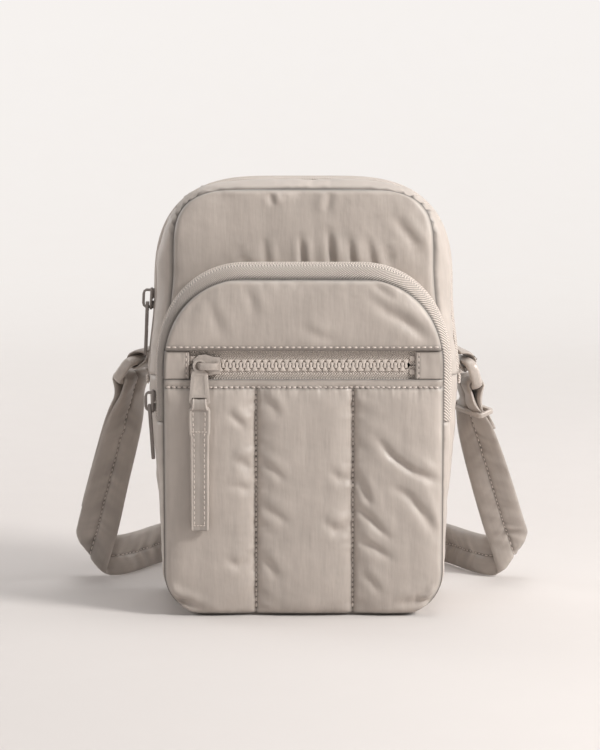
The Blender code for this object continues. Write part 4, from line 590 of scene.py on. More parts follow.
# %% [markdown]
# **Repeated pieces.** Stitches, stops and zip teeth are pieces of one kind along a line. They
# could be copied one by one, but one Geometry Nodes tree sets a unit on every point, turned by
# the point's own direction and normal, so a change is made in one place.

# %% Repeating tree
def repeating_tree():
    """Instances a unit on points that carry the attributes way, out and grow."""
    tree = bpy.data.node_groups.new("repeat_on_points", "GeometryNodeTree")
    face = tree.interface
    face.new_socket("Geometry", in_out="INPUT", socket_type="NodeSocketGeometry")
    face.new_socket("Unit", in_out="INPUT", socket_type="NodeSocketObject")
    face.new_socket("Material", in_out="INPUT", socket_type="NodeSocketMaterial")
    face.new_socket("Jitter", in_out="INPUT", socket_type="NodeSocketFloat")
    face.new_socket("Seed", in_out="INPUT", socket_type="NodeSocketInt")
    face.new_socket("Geometry", in_out="OUTPUT", socket_type="NodeSocketGeometry")
    add = tree.nodes.new
    start, end = add("NodeGroupInput"), add("NodeGroupOutput")
    to_points = add("GeometryNodeMeshToPoints")
    unit = add("GeometryNodeObjectInfo")
    unit.transform_space = "ORIGINAL"
    way, out, grow = (add("GeometryNodeInputNamedAttribute") for _ in range(3))
    for node, name in ((way, "way"), (out, "out"), (grow, "grow")):
        node.data_type = "FLOAT_VECTOR"
        node.inputs["Name"].default_value = name
    axes = add("FunctionNodeAxesToRotation")
    axes.primary_axis, axes.secondary_axis = "X", "Z"
    turn = add("FunctionNodeRandomValue")
    turn.data_type = "FLOAT_VECTOR"
    spin = add("FunctionNodeEulerToRotation")
    both = add("FunctionNodeRotateRotation")
    both.rotation_space = "LOCAL"
    put = add("GeometryNodeInstanceOnPoints")
    real = add("GeometryNodeRealizeInstances")
    dress = add("GeometryNodeSetMaterial")
    negative = add("ShaderNodeMath")
    negative.operation = "MULTIPLY"
    negative.inputs[1].default_value = -1.0
    low, high = add("ShaderNodeCombineXYZ"), add("ShaderNodeCombineXYZ")
    link = tree.links.new
    link(start.outputs["Geometry"], to_points.inputs["Mesh"])
    link(start.outputs["Unit"], unit.inputs["Object"])
    link(way.outputs["Attribute"], axes.inputs["Primary Axis"])
    link(out.outputs["Attribute"], axes.inputs["Secondary Axis"])
    link(start.outputs["Jitter"], negative.inputs[0])
    for axis in "XYZ":
        link(negative.outputs[0], low.inputs[axis])
        link(start.outputs["Jitter"], high.inputs[axis])
    link(low.outputs[0], turn.inputs["Min"])
    link(high.outputs[0], turn.inputs["Max"])
    link(start.outputs["Seed"], turn.inputs["Seed"])
    link(turn.outputs["Value"], spin.inputs["Euler"])
    link(axes.outputs["Rotation"], both.inputs["Rotation"])
    link(spin.outputs["Rotation"], both.inputs["Rotate By"])
    link(to_points.outputs["Points"], put.inputs["Points"])
    link(unit.outputs["Geometry"], put.inputs["Instance"])
    link(both.outputs["Rotation"], put.inputs["Rotation"])
    link(grow.outputs["Attribute"], put.inputs["Scale"])
    link(put.outputs["Instances"], real.inputs["Geometry"])
    link(real.outputs["Geometry"], dress.inputs["Geometry"])
    link(start.outputs["Material"], dress.inputs["Material"])
    link(dress.outputs["Geometry"], end.inputs["Geometry"])
    return tree


REPEAT = repeating_tree()


SEED = 3


def repeat(name, unit, spots, ways, outs, material, sizes=1.0, jitter=0.0):
    """Set a unit mesh on each spot and return the result as one plain mesh object."""
    spots = np.asarray(spots, float)
    carrier = bpy.data.meshes.new(f"{name}_points")
    carrier.from_pydata(spots.tolist(), [], [])
    for label, values in (("way", ways), ("out", outs), ("grow", sizes)):
        values = np.broadcast_to(np.asarray(values, float), spots.shape)
        layer = carrier.attributes.new(label, "FLOAT_VECTOR", "POINT")
        layer.data.foreach_set("vector", np.ascontiguousarray(values, np.float32).ravel())
    holder = placed(f"{name}_holder", carrier)
    modifier = holder.modifiers.new("repeat", "NODES")
    modifier.node_group = REPEAT
    names = {item.name: item.identifier for item in REPEAT.interface.items_tree
             if item.item_type == "SOCKET" and item.in_out == "INPUT"}
    for label, value in (("Unit", unit), ("Material", material), ("Jitter", jitter),
                         ("Seed", SEED)):
        modifier[names[label]] = value
    graph = bpy.context.evaluated_depsgraph_get()
    mesh = bpy.data.meshes.new_from_object(holder.evaluated_get(graph), depsgraph=graph)
    mesh.name = name
    bpy.data.objects.remove(holder)
    mesh.shade_smooth()
    only_material(mesh, material)
    return placed(name, mesh)


def stitch_unit(length, thick):
    """One stitch: a short thread that dips into the cloth at both ends."""
    rings, sides = 9, 8
    points, faces = [], []
    for i in range(rings):
        t = i / (rings - 1)
        x = length * (t - 0.5)
        lift = thick * (0.75 * math.sin(math.pi * t) ** 0.6 - 0.55)
        radius = thick * (0.30 + 0.24 * math.sin(math.pi * t) ** 0.5)
        for k in range(sides):
            a = 2 * math.pi * k / sides
            points.append((x, radius * 1.15 * math.cos(a), lift + radius * math.sin(a)))
    for i in range(rings - 1):
        for k in range(sides):
            n = (k + 1) % sides
            faces.append((i * sides + k, i * sides + n, (i + 1) * sides + n, (i + 1) * sides + k))
    faces += [tuple(range(sides)), tuple(range((rings - 1) * sides, rings * sides))]
    made = solid("stitch_unit", points, faces, THREAD)
    scene.collection.objects.unlink(made)
    return made


STITCH_THICK = 0.42  # of a stitch unit, whose length is 1
STITCH = stitch_unit(1.0, STITCH_THICK)


def path_points(line, pitch, start=0.5):
    """Points every pitch along a line of 3-D points, with their directions."""
    line = np.asarray(line, float)
    run = travelled(line)
    at = np.arange(pitch * start, run[-1] - pitch * 0.3, pitch)
    spots = np.stack([np.interp(at, run, line[:, k]) for k in range(3)], 1)
    ahead = np.stack([np.interp(at + pitch * 0.1, run, line[:, k]) for k in range(3)], 1)
    ways = ahead - spots
    return spots, ways / np.maximum(np.linalg.norm(ways, axis=1, keepdims=True), 1e-12)


def sewn(name, line, out, pitch, length, thick):
    """A row of stitches along a line; out is the cloth's outward direction, one or per point."""
    spots, ways = path_points(line, pitch)
    if np.ndim(out) > 1:
        out = out[np.argmin(np.linalg.norm(line[None] - spots[:, None], axis=2), axis=1)]
    size = (length, thick / STITCH_THICK, thick / STITCH_THICK)
    return repeat(name, STITCH, spots, ways, out, THREAD, size, 0.05)


def stitches(name, line, pitch, length, thick, body="bag"):
    """A row of stitches on cloth that faces forwards."""
    ride(sewn(name, line, (0, -1, 0), pitch, length, thick), body)


print("repeating tree with", len(REPEAT.nodes), "nodes")

# %% [markdown]
# **Padded panels.** The faces of bag and pocket are nylon over thin foam, held down at the rim,
# the hem and the quilting. They could be sculpted by hand, but a cloth simulation finds how a
# filled panel bulges between its seams. The photograph's creases, the tucks at the seams and
# the needle holes are too small for it, and are added afterwards.

# %% Panels
TRIAL, FRAMES = 10.0, 20
PANEL_WALL, PROUD, PROUD_SOFTLY = 0.0024, 0.0028, 0.0011
SEAM_FOOT, HEM_HALF = 0.004, 0.0685  # where the rows of stitches start
QUILT_PITCH, HEM_PITCH, TOP_HEM_PITCH = 0.00275, 0.00285, 0.0031


def swell(name, front, pinned, pressure, spare, limit, facing, calm):
    """Run the cloth for a few frames and return the moved front grid.

    The cloth is simulated ten times larger, since it settles more steadily at that size.
    """
    rows, columns = front.shape[:2]
    points = front.reshape(-1, 3)
    made = solid(f"{name}_cloth", points * TRIAL, quads_of(rows, columns)[1], NYLON)
    turned = sum(p.normal.y * p.area for p in made.data.polygons)
    if turned * facing < 0:
        made.data.flip_normals()
    group = made.vertex_groups.new(name="pinned")
    group.add(np.nonzero(pinned.ravel())[0].tolist(), 1.0, "REPLACE")
    modifier = made.modifiers.new("cloth", "CLOTH")
    cloth = modifier.settings
    cloth.quality, cloth.mass = 5, 0.3
    cloth.tension_stiffness = cloth.compression_stiffness = 15.0
    cloth.shear_stiffness, cloth.bending_stiffness = 5.0, 0.05
    cloth.use_pressure, cloth.uniform_pressure_force = True, pressure
    cloth.shrink_min = -spare
    cloth.vertex_group_mass = "pinned"
    cloth.effector_weights.gravity = 0.0
    modifier.collision_settings.use_collision = False
    modifier.point_cache.frame_start, modifier.point_cache.frame_end = 1, FRAMES
    for number in range(1, FRAMES + 1):
        scene.frame_set(number)
    shown = made.evaluated_get(bpy.context.evaluated_depsgraph_get())
    flat = np.empty(len(points) * 3)
    shown.data.vertices.foreach_get("co", flat)
    moved = flat.reshape(-1, 3) / TRIAL - points
    scene.frame_set(1)
    bpy.data.objects.remove(made)
    moved = moved.reshape(front.shape)
    free = (~pinned)[..., None]
    for _ in range(calm):
        near = np.pad(moved, ((1, 1), (1, 1), (0, 0)), mode="edge")
        near = (near[:-2, 1:-1] + near[2:, 1:-1] + near[1:-1, :-2] + near[1:-1, 2:]) / 4
        moved = np.where(free, 0.5 * moved + 0.5 * near, moved)
    moved = moved.reshape(-1, 3)
    reach = np.linalg.norm(moved, axis=1, keepdims=True)
    moved *= limit * np.tanh(reach / limit) / np.maximum(reach, 1e-12)
    low, high = moved[:, 1].min() * 1000, moved[:, 1].max() * 1000
    print(f"{name}: cloth moved {low:.1f} to {high:.1f} mm")
    return (points + moved).reshape(front.shape)


def pad(name, outline, low, high, seam_y, facing, seams=(), *, puff, pressure, spare, limit, edge,
        hem=None, top_hem=None, step=0.0018, folds=(), bulge_from=None, calm=5):
    """A padded panel between two heights: pinned at its rim, its sewn seams and its hem."""
    rows = outline.rows(low, high, step)
    stops = [-1.0, *[s / SEAM_HALF for s in seams], 1.0]
    columns = []
    for a, b in zip(stops, stops[1:]):
        count = max(6, int(round((b - a) * SEAM_HALF / step)))
        columns += np.linspace(a, b, count + 1)[:-1].tolist()
    u = np.array(columns + [1.0])
    half, z = rows[:, 0][:, None], rows[:, 1][:, None]
    x = u * half
    if seams:
        # Seams stay upright lines, and only the shares outside them follow the outline.
        (left, right), (left_u, right_u) = (seams[0], seams[-1]), (stops[1], stops[-2])
        beyond_left = left - (left_u - u) / (left_u + 1) * (half + left)
        beyond_right = right + (u - right_u) / (1 - right_u) * (half - right)
        x = np.where(u < left_u, beyond_left, np.where(u > right_u, beyond_right, u * SEAM_HALF))
    z = np.broadcast_to(z, x.shape).copy()
    rise = np.sin(np.pi * np.clip((z - low) / (high - low), 0.002, 0.998)) ** 0.35
    swell_x = np.zeros(x.shape)
    edges = [-half, *[np.full_like(half, s) for s in seams], half]
    for a, b in zip(edges, edges[1:]):
        t = np.clip((x - a) / (b - a), 0, 1)
        swell_x = np.maximum(swell_x, np.where((x >= a - 1e-6) & (x <= b + 1e-6),
                                               np.sin(np.pi * t) ** 0.6, 0))
    body = puff * swell_x * rise
    if bulge_from is not None:
        body *= ease((z - bulge_from) / 0.03)
    y = seam_y + facing * body
    pinned = np.zeros(x.shape, bool)
    pinned[0] = pinned[-1] = True
    pinned[:, 0] = pinned[:, -1] = True
    for s in seams:
        pinned[:, int(np.argmin(np.abs(u - s / SEAM_HALF)))] = True
    if hem is not None:
        pinned |= z >= hem
        y = np.where(z >= hem, seam_y + facing * 0.0004, y)
    if top_hem is not None:
        pinned |= z <= top_hem
        y = np.where(z <= top_hem, seam_y + facing * 0.0004, y)
    if bulge_from is not None:
        pinned |= z <= bulge_from
    grid = swell(name, np.stack([x, y, z], -1), pinned, pressure, spare, limit, facing, calm)
    return refine(name, grid, outline, low, high, seam_y, facing, seams, hem, top_hem, folds, edge)


def refine(name, grid, outline, low, high, seam_y, facing, seams, hem, top_hem, folds, edge):
    """Double the grid, add puckers, folds and rolled edges, and close it with its back."""
    grid = doubled(doubled(grid, 0), 1)
    x, z = grid[..., 0], grid[..., 2]
    lift, painted_shading = np.zeros(x.shape), np.zeros(x.shape)
    for s in seams:
        d = np.abs(x - s)
        tops = high if hem is None else hem
        live = ease((tops - z) / 0.002)
        ripple = rumple(np.stack([x * 0.25, z * 0, z], -1), 330.0, 2.0 + s * 10)
        fine = np.cos(2 * math.pi * (z - SEAM_FOOT) / QUILT_PITCH)
        tuck = rumple(np.stack([x * 0.2, z * 0, z + 0.55 * d], -1), 175.0, 4.0 + s * 10)
        lift -= live * 0.0017 * np.exp(-(d / 0.0014) ** 1.4)
        lift += live * 0.0007 * ripple * np.exp(-d / 0.0040)
        lift += live * 0.0012 * tuck * np.exp(-d / 0.0065) * ease(d / 0.0010)
        lift -= live * 0.0002 * fine * np.exp(-d / 0.0014)
        # Painted shade in the quilting seam and its stitch holes.
        holes = 0.50 + 0.40 * np.clip(fine, 0, 1)
        painted_shading = np.maximum(painted_shading, live * holes * np.exp(-(d / 0.0008) ** 2))
    rim = np.minimum(half_at(outline, z) - np.abs(x), 1.0)
    if hem is None:
        rim = np.minimum(rim, high - z)
    if top_hem is None:
        rim = np.minimum(rim, z - low)
    rim = np.maximum(rim, 0.0)
    ripple = rumple(np.stack([x, z * 0, z], -1), 210.0, 5.0)
    lift += 0.0006 * ripple * np.exp(-rim / 0.004) * ease(rim / 0.0015)
    if hem is not None:
        d = hem - z
        wave_x = np.cos(2 * math.pi * (x + HEM_HALF) / HEM_PITCH)
        near = rumple(np.stack([x, x * 0, z * 0.3], -1), 260.0, 8.0)
        lift += np.where(d > 0, (0.0011 * near - 0.00025 * wave_x) * np.exp(-d / 0.0032), 0)
        lift -= 0.0010 * np.exp(-(d / 0.0008) ** 2)
        # Painted shade in the hem's stitch holes and along the panel's upper edge.
        holes = 0.45 + 0.5 * np.clip(wave_x, 0, 1)
        painted_shading = np.maximum(painted_shading, holes * np.exp(-((d - 0.0003) / 0.0007) ** 2))
        painted_shading = np.maximum(painted_shading, 0.5 * np.exp(-((high - z) / 0.0004) ** 2))
    if top_hem is not None:
        d = z - top_hem
        near = rumple(np.stack([x, x * 0, z * 0.3], -1), 200.0, 9.0)
        lift += np.where(d > 0, 0.0003 * near * np.exp(-d / 0.004), 0)
        lift -= 0.0003 * np.exp(-(d / 0.0007) ** 2)
        # Painted shade along the top hem and the panel's lower edge.
        painted_shading = np.maximum(painted_shading, 0.4 * np.exp(-(d / 0.0006) ** 2))
        painted_shading = np.maximum(painted_shading, 0.5 * np.exp(-((z - low) / 0.0004) ** 2))
    soft = rumple(np.stack([x, z * 0, z * 0.35], -1), 70.0, 11.0)
    lift += 0.00028 * soft * ease(rim / 0.006)
    lift += folded(x, z, folds) * ease(rim / 0.003)
    # The skin turns back towards the seam at its rim.
    roll = edge * (1 - np.sqrt(np.clip(1 - (1 - np.clip(rim / edge, 0, 1)) ** 2, 0, 1)))
    # Painted shade where the skin rolls back into the seam at its rim.
    painted_shading = np.maximum(painted_shading, np.exp(-(rim / (0.29 * edge)) ** 2))
    grid[..., 1] += facing * (lift - roll)
    # Nothing stands proud enough to meet the pull tab when the front zip is opened.
    over = np.maximum(facing * (grid[..., 1] - seam_y) - PROUD, 0)
    grid[..., 1] -= facing * (over - PROUD_SOFTLY * np.tanh(over / PROUD_SOFTLY))
    back = grid.copy()
    back[..., 1] = seam_y - facing * PANEL_WALL
    made = closed_grid(name, grid, back, NYLON, np.stack([x, z], -1), painted_shading)
    return made, grid


def half_at(outline, z):
    line = outline.rows(0.0, outline.top_z, 0.002)
    return np.interp(z, line[:, 1], line[:, 0])


def doubled(grid, axis):
    """Twice as many rows or columns, through a smooth curve."""
    grid = np.moveaxis(grid, axis, 0)
    n = len(grid)
    ends = np.concatenate([2 * grid[:1] - grid[1:2], grid, 2 * grid[-1:] - grid[-2:-1]])
    middle = (9 * (ends[1:-2] + ends[2:-1]) - ends[:-3] - ends[3:]) / 16
    out = np.empty((2 * n - 1, *grid.shape[1:]))
    out[0::2], out[1::2] = grid, middle
    return np.moveaxis(out, 0, axis)


QUILT = (-0.0237, 0.0247)
HEM_Z, TOP_HEM_Z = 0.11575, 0.13575
FOOT_PX, PIXEL = (303.5, 618), 0.0005  # the bag's foot in the picture, and metres in a pixel


def px(*spots):
    """Places on the pocket's front from places in the picture."""
    return [((x - FOOT_PX[0]) * PIXEL, (FOOT_PX[1] - y) * PIXEL) for x, y in spots]


def grown(folds, deeper, wider):
    """The same folds, deeper and wider."""
    return [(line, depth * deeper, width * wider) for line, depth, width in folds]


quilt_folds = [
    (px((376, 437), (392, 455), (412, 470), (437, 481)), 0.0011, 0.0014),
    (px((390, 484), (410, 496), (424, 515), (436, 534)), 0.0009, 0.0016),
    (px((357, 478), (366, 494), (372, 508)), 0.0007, 0.0012),
    (px((356, 508), (372, 520), (392, 542)), 0.0009, 0.0014),
    (px((358, 541), (376, 548), (393, 560)), 0.0008, 0.0014),
    (px((360, 572), (372, 582), (380, 594)), 0.0005, 0.0012),
    (px((262, 464), (274, 470), (286, 480)), 0.0005, 0.0012),
    (px((262, 506), (276, 514), (290, 524)), 0.0005, 0.0014),
    (px((262, 396), (272, 404), (280, 416)), 0.0004, 0.0012),
    (px((228, 412), (238, 420), (246, 428)), 0.0005, 0.0012),
    (px((232, 460), (243, 462), (252, 470)), 0.0005, 0.0014),
    (px((226, 486), (240, 486), (252, 492)), 0.0004, 0.0012),
    (px((395, 606), (415, 602), (432, 590)), 0.0007, 0.0014),
    (px((176, 600), (190, 606), (206, 612)), 0.0005, 0.0012),
    (px((166, 592), (177, 601), (190, 603)), 0.0016, 0.0009),
    (px((418, 604), (430, 602), (441, 592)), 0.0016, 0.0009),
    (px((262, 560), (270, 566), (278, 580)), 0.0005, 0.0014),
    (px((226, 560), (238, 566), (250, 560)), 0.0005, 0.0014),
    (px((330, 470), (340, 478), (350, 476)), 0.0005, 0.0014),
    (px((322, 520), (336, 530), (349, 528)), 0.0006, 0.0015),
]
quilt, quilt_grid = pad("quilted_lower_cloth", POCKET_SEAM, 0.0006, 0.1195, -0.0338, -1, QUILT,
                        puff=0.0014, hem=HEM_Z, pressure=4.0, spare=0.05, limit=0.0024,
                        folds=grown(quilt_folds, 2.0, 1.6), edge=0.0032, calm=9)
upper_folds = [
    (px((369, 296), (388, 312), (408, 322), (430, 334)), 0.0006, 0.0018),
    (px((372, 283), (384, 292), (396, 300)), 0.0004, 0.0014),
    (px((186, 318), (200, 300), (214, 290)), 0.0003, 0.0018),
    (px((206, 296), (216, 318), (222, 336)), 0.0003, 0.0016),
    (px((244, 284), (252, 300), (256, 318)), 0.0003, 0.0015),
    (px((398, 318), (414, 330), (428, 340)), 0.0004, 0.0014),
    (px((300, 326), (318, 336), (340, 340)), 0.0003, 0.0014),
]
upper, upper_grid = pad("pocket_upper_cloth", POCKET_SEAM, 0.1340, 0.1695, -0.0342, -1,
                        puff=0.0008, top_hem=TOP_HEM_Z, pressure=6.0, spare=0.012, limit=0.0012,
                        folds=grown(upper_folds, 1.9, 1.5), edge=0.0028)
front_folds = [
    (px((300, 236), (304, 276)), 0.0005, 0.0012),
    (px((328, 230), (333, 276)), 0.0006, 0.0013),
    (px((348, 238), (354, 278)), 0.0005, 0.0012),
    (px((392, 216), (408, 236), (428, 262)), 0.0004, 0.0018),
    (px((380, 250), (396, 262)), 0.0005, 0.0015),
    (px((236, 252), (252, 272)), 0.0004, 0.0014),
    (px((264, 236), (268, 276)), 0.0003, 0.0014),
    (px((366, 240), (376, 278)), 0.0004, 0.0013),
    (px((270, 192), (274, 206)), 0.0003, 0.0012),
    (px((330, 191), (326, 212)), 0.0003, 0.0014),
]
# The main panel stands behind the pocket's front, so its places in the picture are shifted.
front_folds = [([(x * 1.02, z - 0.0020) for x, z in line], depth, width)
               for line, depth, width in front_folds]
main_front, _ = pad("main_front_cloth", MAIN_SEAM, 0.0006, 0.2130, -0.0070, -1, puff=0.0006,
                    pressure=1.6, spare=0.02, limit=0.0018, edge=0.0030,
                    folds=grown(front_folds, 2.6, 1.3), bulge_from=0.146, calm=12)
rear, _ = pad("rear_cloth", MAIN_SEAM, 0.0006, 0.2130, 0.0366, 1, puff=0.0006, pressure=8.0,
              spare=0.012, limit=0.0012, edge=0.0018)
for made, node, fill in ((quilt, "quilted_lower_panel", 0.6), (upper, "pocket_upper_panel", 0.3),
                         (main_front, "main_front_panel", 0.2), (rear, "rear_panel", 0.3)):
    ride(made, "bag", node)
    print(made.name, len(made.data.polygons), "faces")

# %% [markdown]
# **Gussets, strips and tapes.** Long strips run round the bag between its panels, with the
# woven zip tapes and the textured band among them. They could be lofted from curves, but
# sweeping the outline itself keeps them flush with the panels, seams and wrinkles included.

# %% Strips round the bag
SPLIT, POCKET_SPLIT = 0.1177, 0.0977  # upper ends of the gussets
ZIP_START, POCKET_ZIP_START = 0.118, 0.098
MAIN_SLIDER_Z, POCKET_SLIDER_Z, SLIDER_REACH = 0.1557, 0.107, 0.0125
GUSSET_WALL, SEAM_GAP, HALF_SLIT = 0.0012, 0.0003, 0.00015
BEAD, TAPE_EDGE, REAR_TAPE, MAIN_STRIP = 0.0022, 0.0012, 0.0036, 0.0108
front_end, rear_start = MAIN_FRONT_Y + MAIN_STRIP, MAIN_REAR_Y - MAIN_STRIP
MAIN_MIDDLE_Y = (MAIN_FRONT_Y + MAIN_REAR_Y) / 2
band_end = POCKET_FRONT_Y + BAND_DEPTH - BEAD
pocket_middle = band_end + SEAM_GAP + BEAD + TAPE_EDGE + HALF_SLIT
tape_end = pocket_middle + HALF_SLIT + REAR_TAPE


def rolled(distance, radius):
    """How far a rounded edge falls back at a distance from its rim."""
    share = np.clip(distance / radius, 0, 1)
    return radius * (1 - np.sqrt(np.clip(1 - (1 - share) ** 2, 0, 1)))


def inset(points, distance):
    """Move an open outline inwards, by one distance or one for each point."""
    steps = normed(np.diff(points, axis=0))
    tangents = normed(np.vstack([steps[:1], steps[:-1] + steps[1:], steps[-1:]]))
    inward = np.stack([-tangents[:, 1], tangents[:, 0]], 1)
    return points + inward * np.reshape(distance, (-1, 1))


def strip(name, node, outline_at, part, split, depths, count, roll, wrinkle, seed,
          gather=0.0, wall=GUSSET_WALL, material=SIDE_NYLON):
    """A closed strip of cloth along an open outline, between two depths, with rolled seams.

    gather bunches the cloth into short folds at the upper corners.
    """
    start, end = depths
    outer, inner, flat, dips = [], [], [], []
    for y in np.linspace(start, end, count):
        line = getattr(outline_at(y), part)(split)
        run = travelled(line)
        gap = min(abs(y - start), 1.0) if roll[0] else 1.0
        far = min(abs(end - y), 1.0) if roll[1] else 1.0
        # Painted shade where the strip rolls into its seams.
        sunk, painted_shading = 0.0, 0.0
        for near, depth in ((gap, roll[0]), (far, roll[1])):
            if depth:
                sunk += float(rolled(near, depth * 1.4)) / 1.4
                painted_shading = max(painted_shading, math.exp(-(near / (0.44 * depth)) ** 2))
        spots = np.stack([line[:, 0], np.full(len(line), y), line[:, 1]], 1)
        fold = rumple(spots * (1.0, 0.45, 1.0), 120.0, seed) * wrinkle
        fold += rumple(spots * (1.0, 0.2, 1.0), 380.0, seed + 3) * wrinkle * 0.5
        if gather:
            at = np.abs(np.abs(line[:, 0]) - 0.058) / 0.011
            at = at + np.maximum(0.193 - line[:, 1], 0) / 0.012
            bunch = np.sin(run * 2 * math.pi / 0.0052 + 7 * fold / max(wrinkle, 1e-9) * 0.3)
            fold += gather * np.exp(-at ** 2) * bunch * math.exp(-min(gap, far) / 0.006)
        keep = np.minimum(1.0, line[:, 1] / 0.006 + 0.15)
        lift = fold * keep - sunk
        lift = np.where(line[:, 1] < 0.004, np.minimum(lift, 0.0), lift)
        skin = inset(line, -lift)
        skin[:, 1] = np.maximum(skin[:, 1], 0.0001)
        back = inset(line, sunk + wall)
        outer.append(np.stack([skin[:, 0], np.full(len(line), y), skin[:, 1]], 1))
        inner.append(np.stack([back[:, 0], np.full(len(line), y), back[:, 1]], 1))
        flat.append(np.stack([run, np.full(len(line), y - start)], 1))
        dips.append(np.full(len(line), painted_shading))
    made = closed_grid(name, np.array(outer), np.array(inner), material, np.array(flat),
                       np.array(dips))
    ride(made, "bag", node)


strip("main_gusset_cloth", "main_gusset", main_outline,
      "lower", SPLIT, (MAIN_FRONT_Y, MAIN_REAR_Y), 34, (0.0011, 0.0011), 0.00055, 1.0)
strip("main_strip_front_cloth", "main_zip_strip_front", main_outline,
      "upper", ZIP_START, (MAIN_FRONT_Y, front_end), 18, (0.0014, 0.0006), 0.0007, 2.0,
      gather=0.0019)
strip("main_strip_rear_cloth", "main_zip_strip_rear", main_outline, "upper",
      ZIP_START, (rear_start, MAIN_REAR_Y), 18, (0.0006, 0.0014), 0.0007, 3.0, gather=0.0010)
strip("pocket_gusset_cloth", "pocket_gusset", pocket_outline, "lower",
      POCKET_SPLIT, (POCKET_FRONT_Y, POCKET_REAR_Y), 24, (0.0011, 0.0005), 0.0004, 4.0)
strip("pocket_band_twill", "pocket_zip_band", pocket_outline, "upper",
      POCKET_ZIP_START, (POCKET_FRONT_Y, band_end), 16, (0.0014, 0.0), 0.0001, 5.0, wall=0.0013,
      material=BAND)
strip("pocket_strip_rear_cloth", "pocket_zip_strip_rear", pocket_outline,
      "upper", POCKET_ZIP_START, (tape_end + SEAM_GAP, POCKET_REAR_Y), 10, (0.0005, 0.0005),
      0.0004, 6.0)


def coil(name, outline_at, start, end, split, slider_z, node):
    """One zip tape of an arched zip: a woven tape with the sewn-over coil as a ridge at its edge.

    The tape gives way to the slider near slider_z, on the left side of the bag.
    """
    way = 1 if end > start else -1
    depth = abs(end - start)
    outer, inner, flat = [], [], []
    for share in np.linspace(0, 1, 13):
        y = start + (end - start) * share
        left = depth * (1 - share)
        lift = 0.0
        if left < BEAD:
            lift = 0.0008 * math.sqrt(max(0.0, 1 - (2 * left / BEAD - 1) ** 2) + 0.02)
        line = outline_at(y).upper(split)
        run = travelled(line)
        off = (line[:, 1] - slider_z) / SLIDER_REACH
        near = (line[:, 0] < 0) & (np.abs(off) < 1.0)
        parted = np.where(near, 0.0012 * np.cos(np.pi / 2 * off) ** 2, 0) * min(1.0, share * 2)
        skin, back = inset(line, -lift), inset(line, 0.0009)
        outer.append(np.stack([skin[:, 0], y - way * parted, skin[:, 1]], 1))
        inner.append(np.stack([back[:, 0], y - way * parted, back[:, 1]], 1))
        flat.append(np.stack([run, np.full(len(line), depth * share)], 1))
    made = closed_grid(name, np.array(outer), np.array(inner), TAPE, np.array(flat))
    ride(made, "bag", node)


coil("main_front_tape", main_outline, front_end + SEAM_GAP, MAIN_MIDDLE_Y - HALF_SLIT, ZIP_START,
     MAIN_SLIDER_Z, "main_zip_front_coil")
coil("main_rear_tape", main_outline, rear_start - SEAM_GAP, MAIN_MIDDLE_Y + HALF_SLIT, ZIP_START,
     MAIN_SLIDER_Z, "main_zip_rear_coil")
coil("pocket_front_tape", pocket_outline, band_end + SEAM_GAP, pocket_middle - HALF_SLIT,
     POCKET_ZIP_START, POCKET_SLIDER_Z, "pocket_zip_front_coil")
coil("pocket_rear_tape", pocket_outline, tape_end, pocket_middle + HALF_SLIT, POCKET_ZIP_START,
     POCKET_SLIDER_Z, "pocket_zip_rear_coil")

# %% [markdown]
# **Moulded zip.** The pocket's window holds two end patches, two woven tapes and two rows of
# teeth that mesh. Bump could stand for the teeth, but they are large enough to be seen one by
# one, so each is a small bevelled block. Behind them lies the thin lining pouch.

# %% Window and moulded zip
CHAIN_Z, TAPE_Y = 0.1265, -0.0313
WINDOW_X, WINDOW_Z = (-0.0567, 0.0557), (0.1195, 0.1340)
PATCH_SEAM, TAPE_PAST_WINDOW = 0.0016, 0.0032
TAPES_MEET_X = (-0.0497, 0.0518)  # beyond these the two tapes are closed
TOOTH_PITCH, STOPS_X = 0.0035, (-0.0551, 0.0541)


def end_patch(word, inner_x, side, seed):
    """The plain cloth between the two hems at one end of the window."""
    z = np.linspace(WINDOW_Z[0] + 0.0003, WINDOW_Z[1] - 0.0003, 31)[:, None]
    rim = side * half_at(POCKET_SEAM, z)
    x = mix(inner_x, rim, np.linspace(0, 1, 27)[None])
    z = np.broadcast_to(z, x.shape)
    from_window, from_rim = np.abs(x - inner_x), np.abs(rim - x)
    folds = rumple(np.stack([x, x * 0, z * 0.5], -1), 260.0, seed) * 0.0004
    groove = 0.0004 * np.exp(-((from_window - PATCH_SEAM) / 0.0006) ** 2)
    y = -0.0337 - folds * ease(from_rim / 0.002) + groove
    y = y + rolled(from_window, 0.0009) + rolled(from_rim, 0.0022)
    grid = np.stack([x, y, z], -1)
    back = np.stack([x, np.full_like(x, -0.0316), z], -1)
    # Painted shade along the patch seam, at the rolled rim and under the top of the window.
    painted_shading = np.maximum(0.6 * np.exp(-((from_window - PATCH_SEAM) / 0.0004) ** 2),
                     0.95 * np.exp(-(from_rim / 0.0012) ** 1.6))
    painted_shading = np.maximum(painted_shading, 0.7 * np.exp(-((WINDOW_Z[1] - z) / 0.0009) ** 2))
    made = closed_grid(f"end_patch_cloth_{word}", grid, back, NYLON, np.stack([x, z], -1), painted_shading)
    ride(made, "bag", f"zip_end_patch_{word}")
    seam_x = inner_x + side * PATCH_SEAM
    line = [(seam_x, -0.0335, WINDOW_Z[0] + 0.0005), (seam_x, -0.0335, WINDOW_Z[1] - 0.0005)]
    stitches(f"patch_stitches_{word}", line, 0.0027, 0.0020, 0.00050)


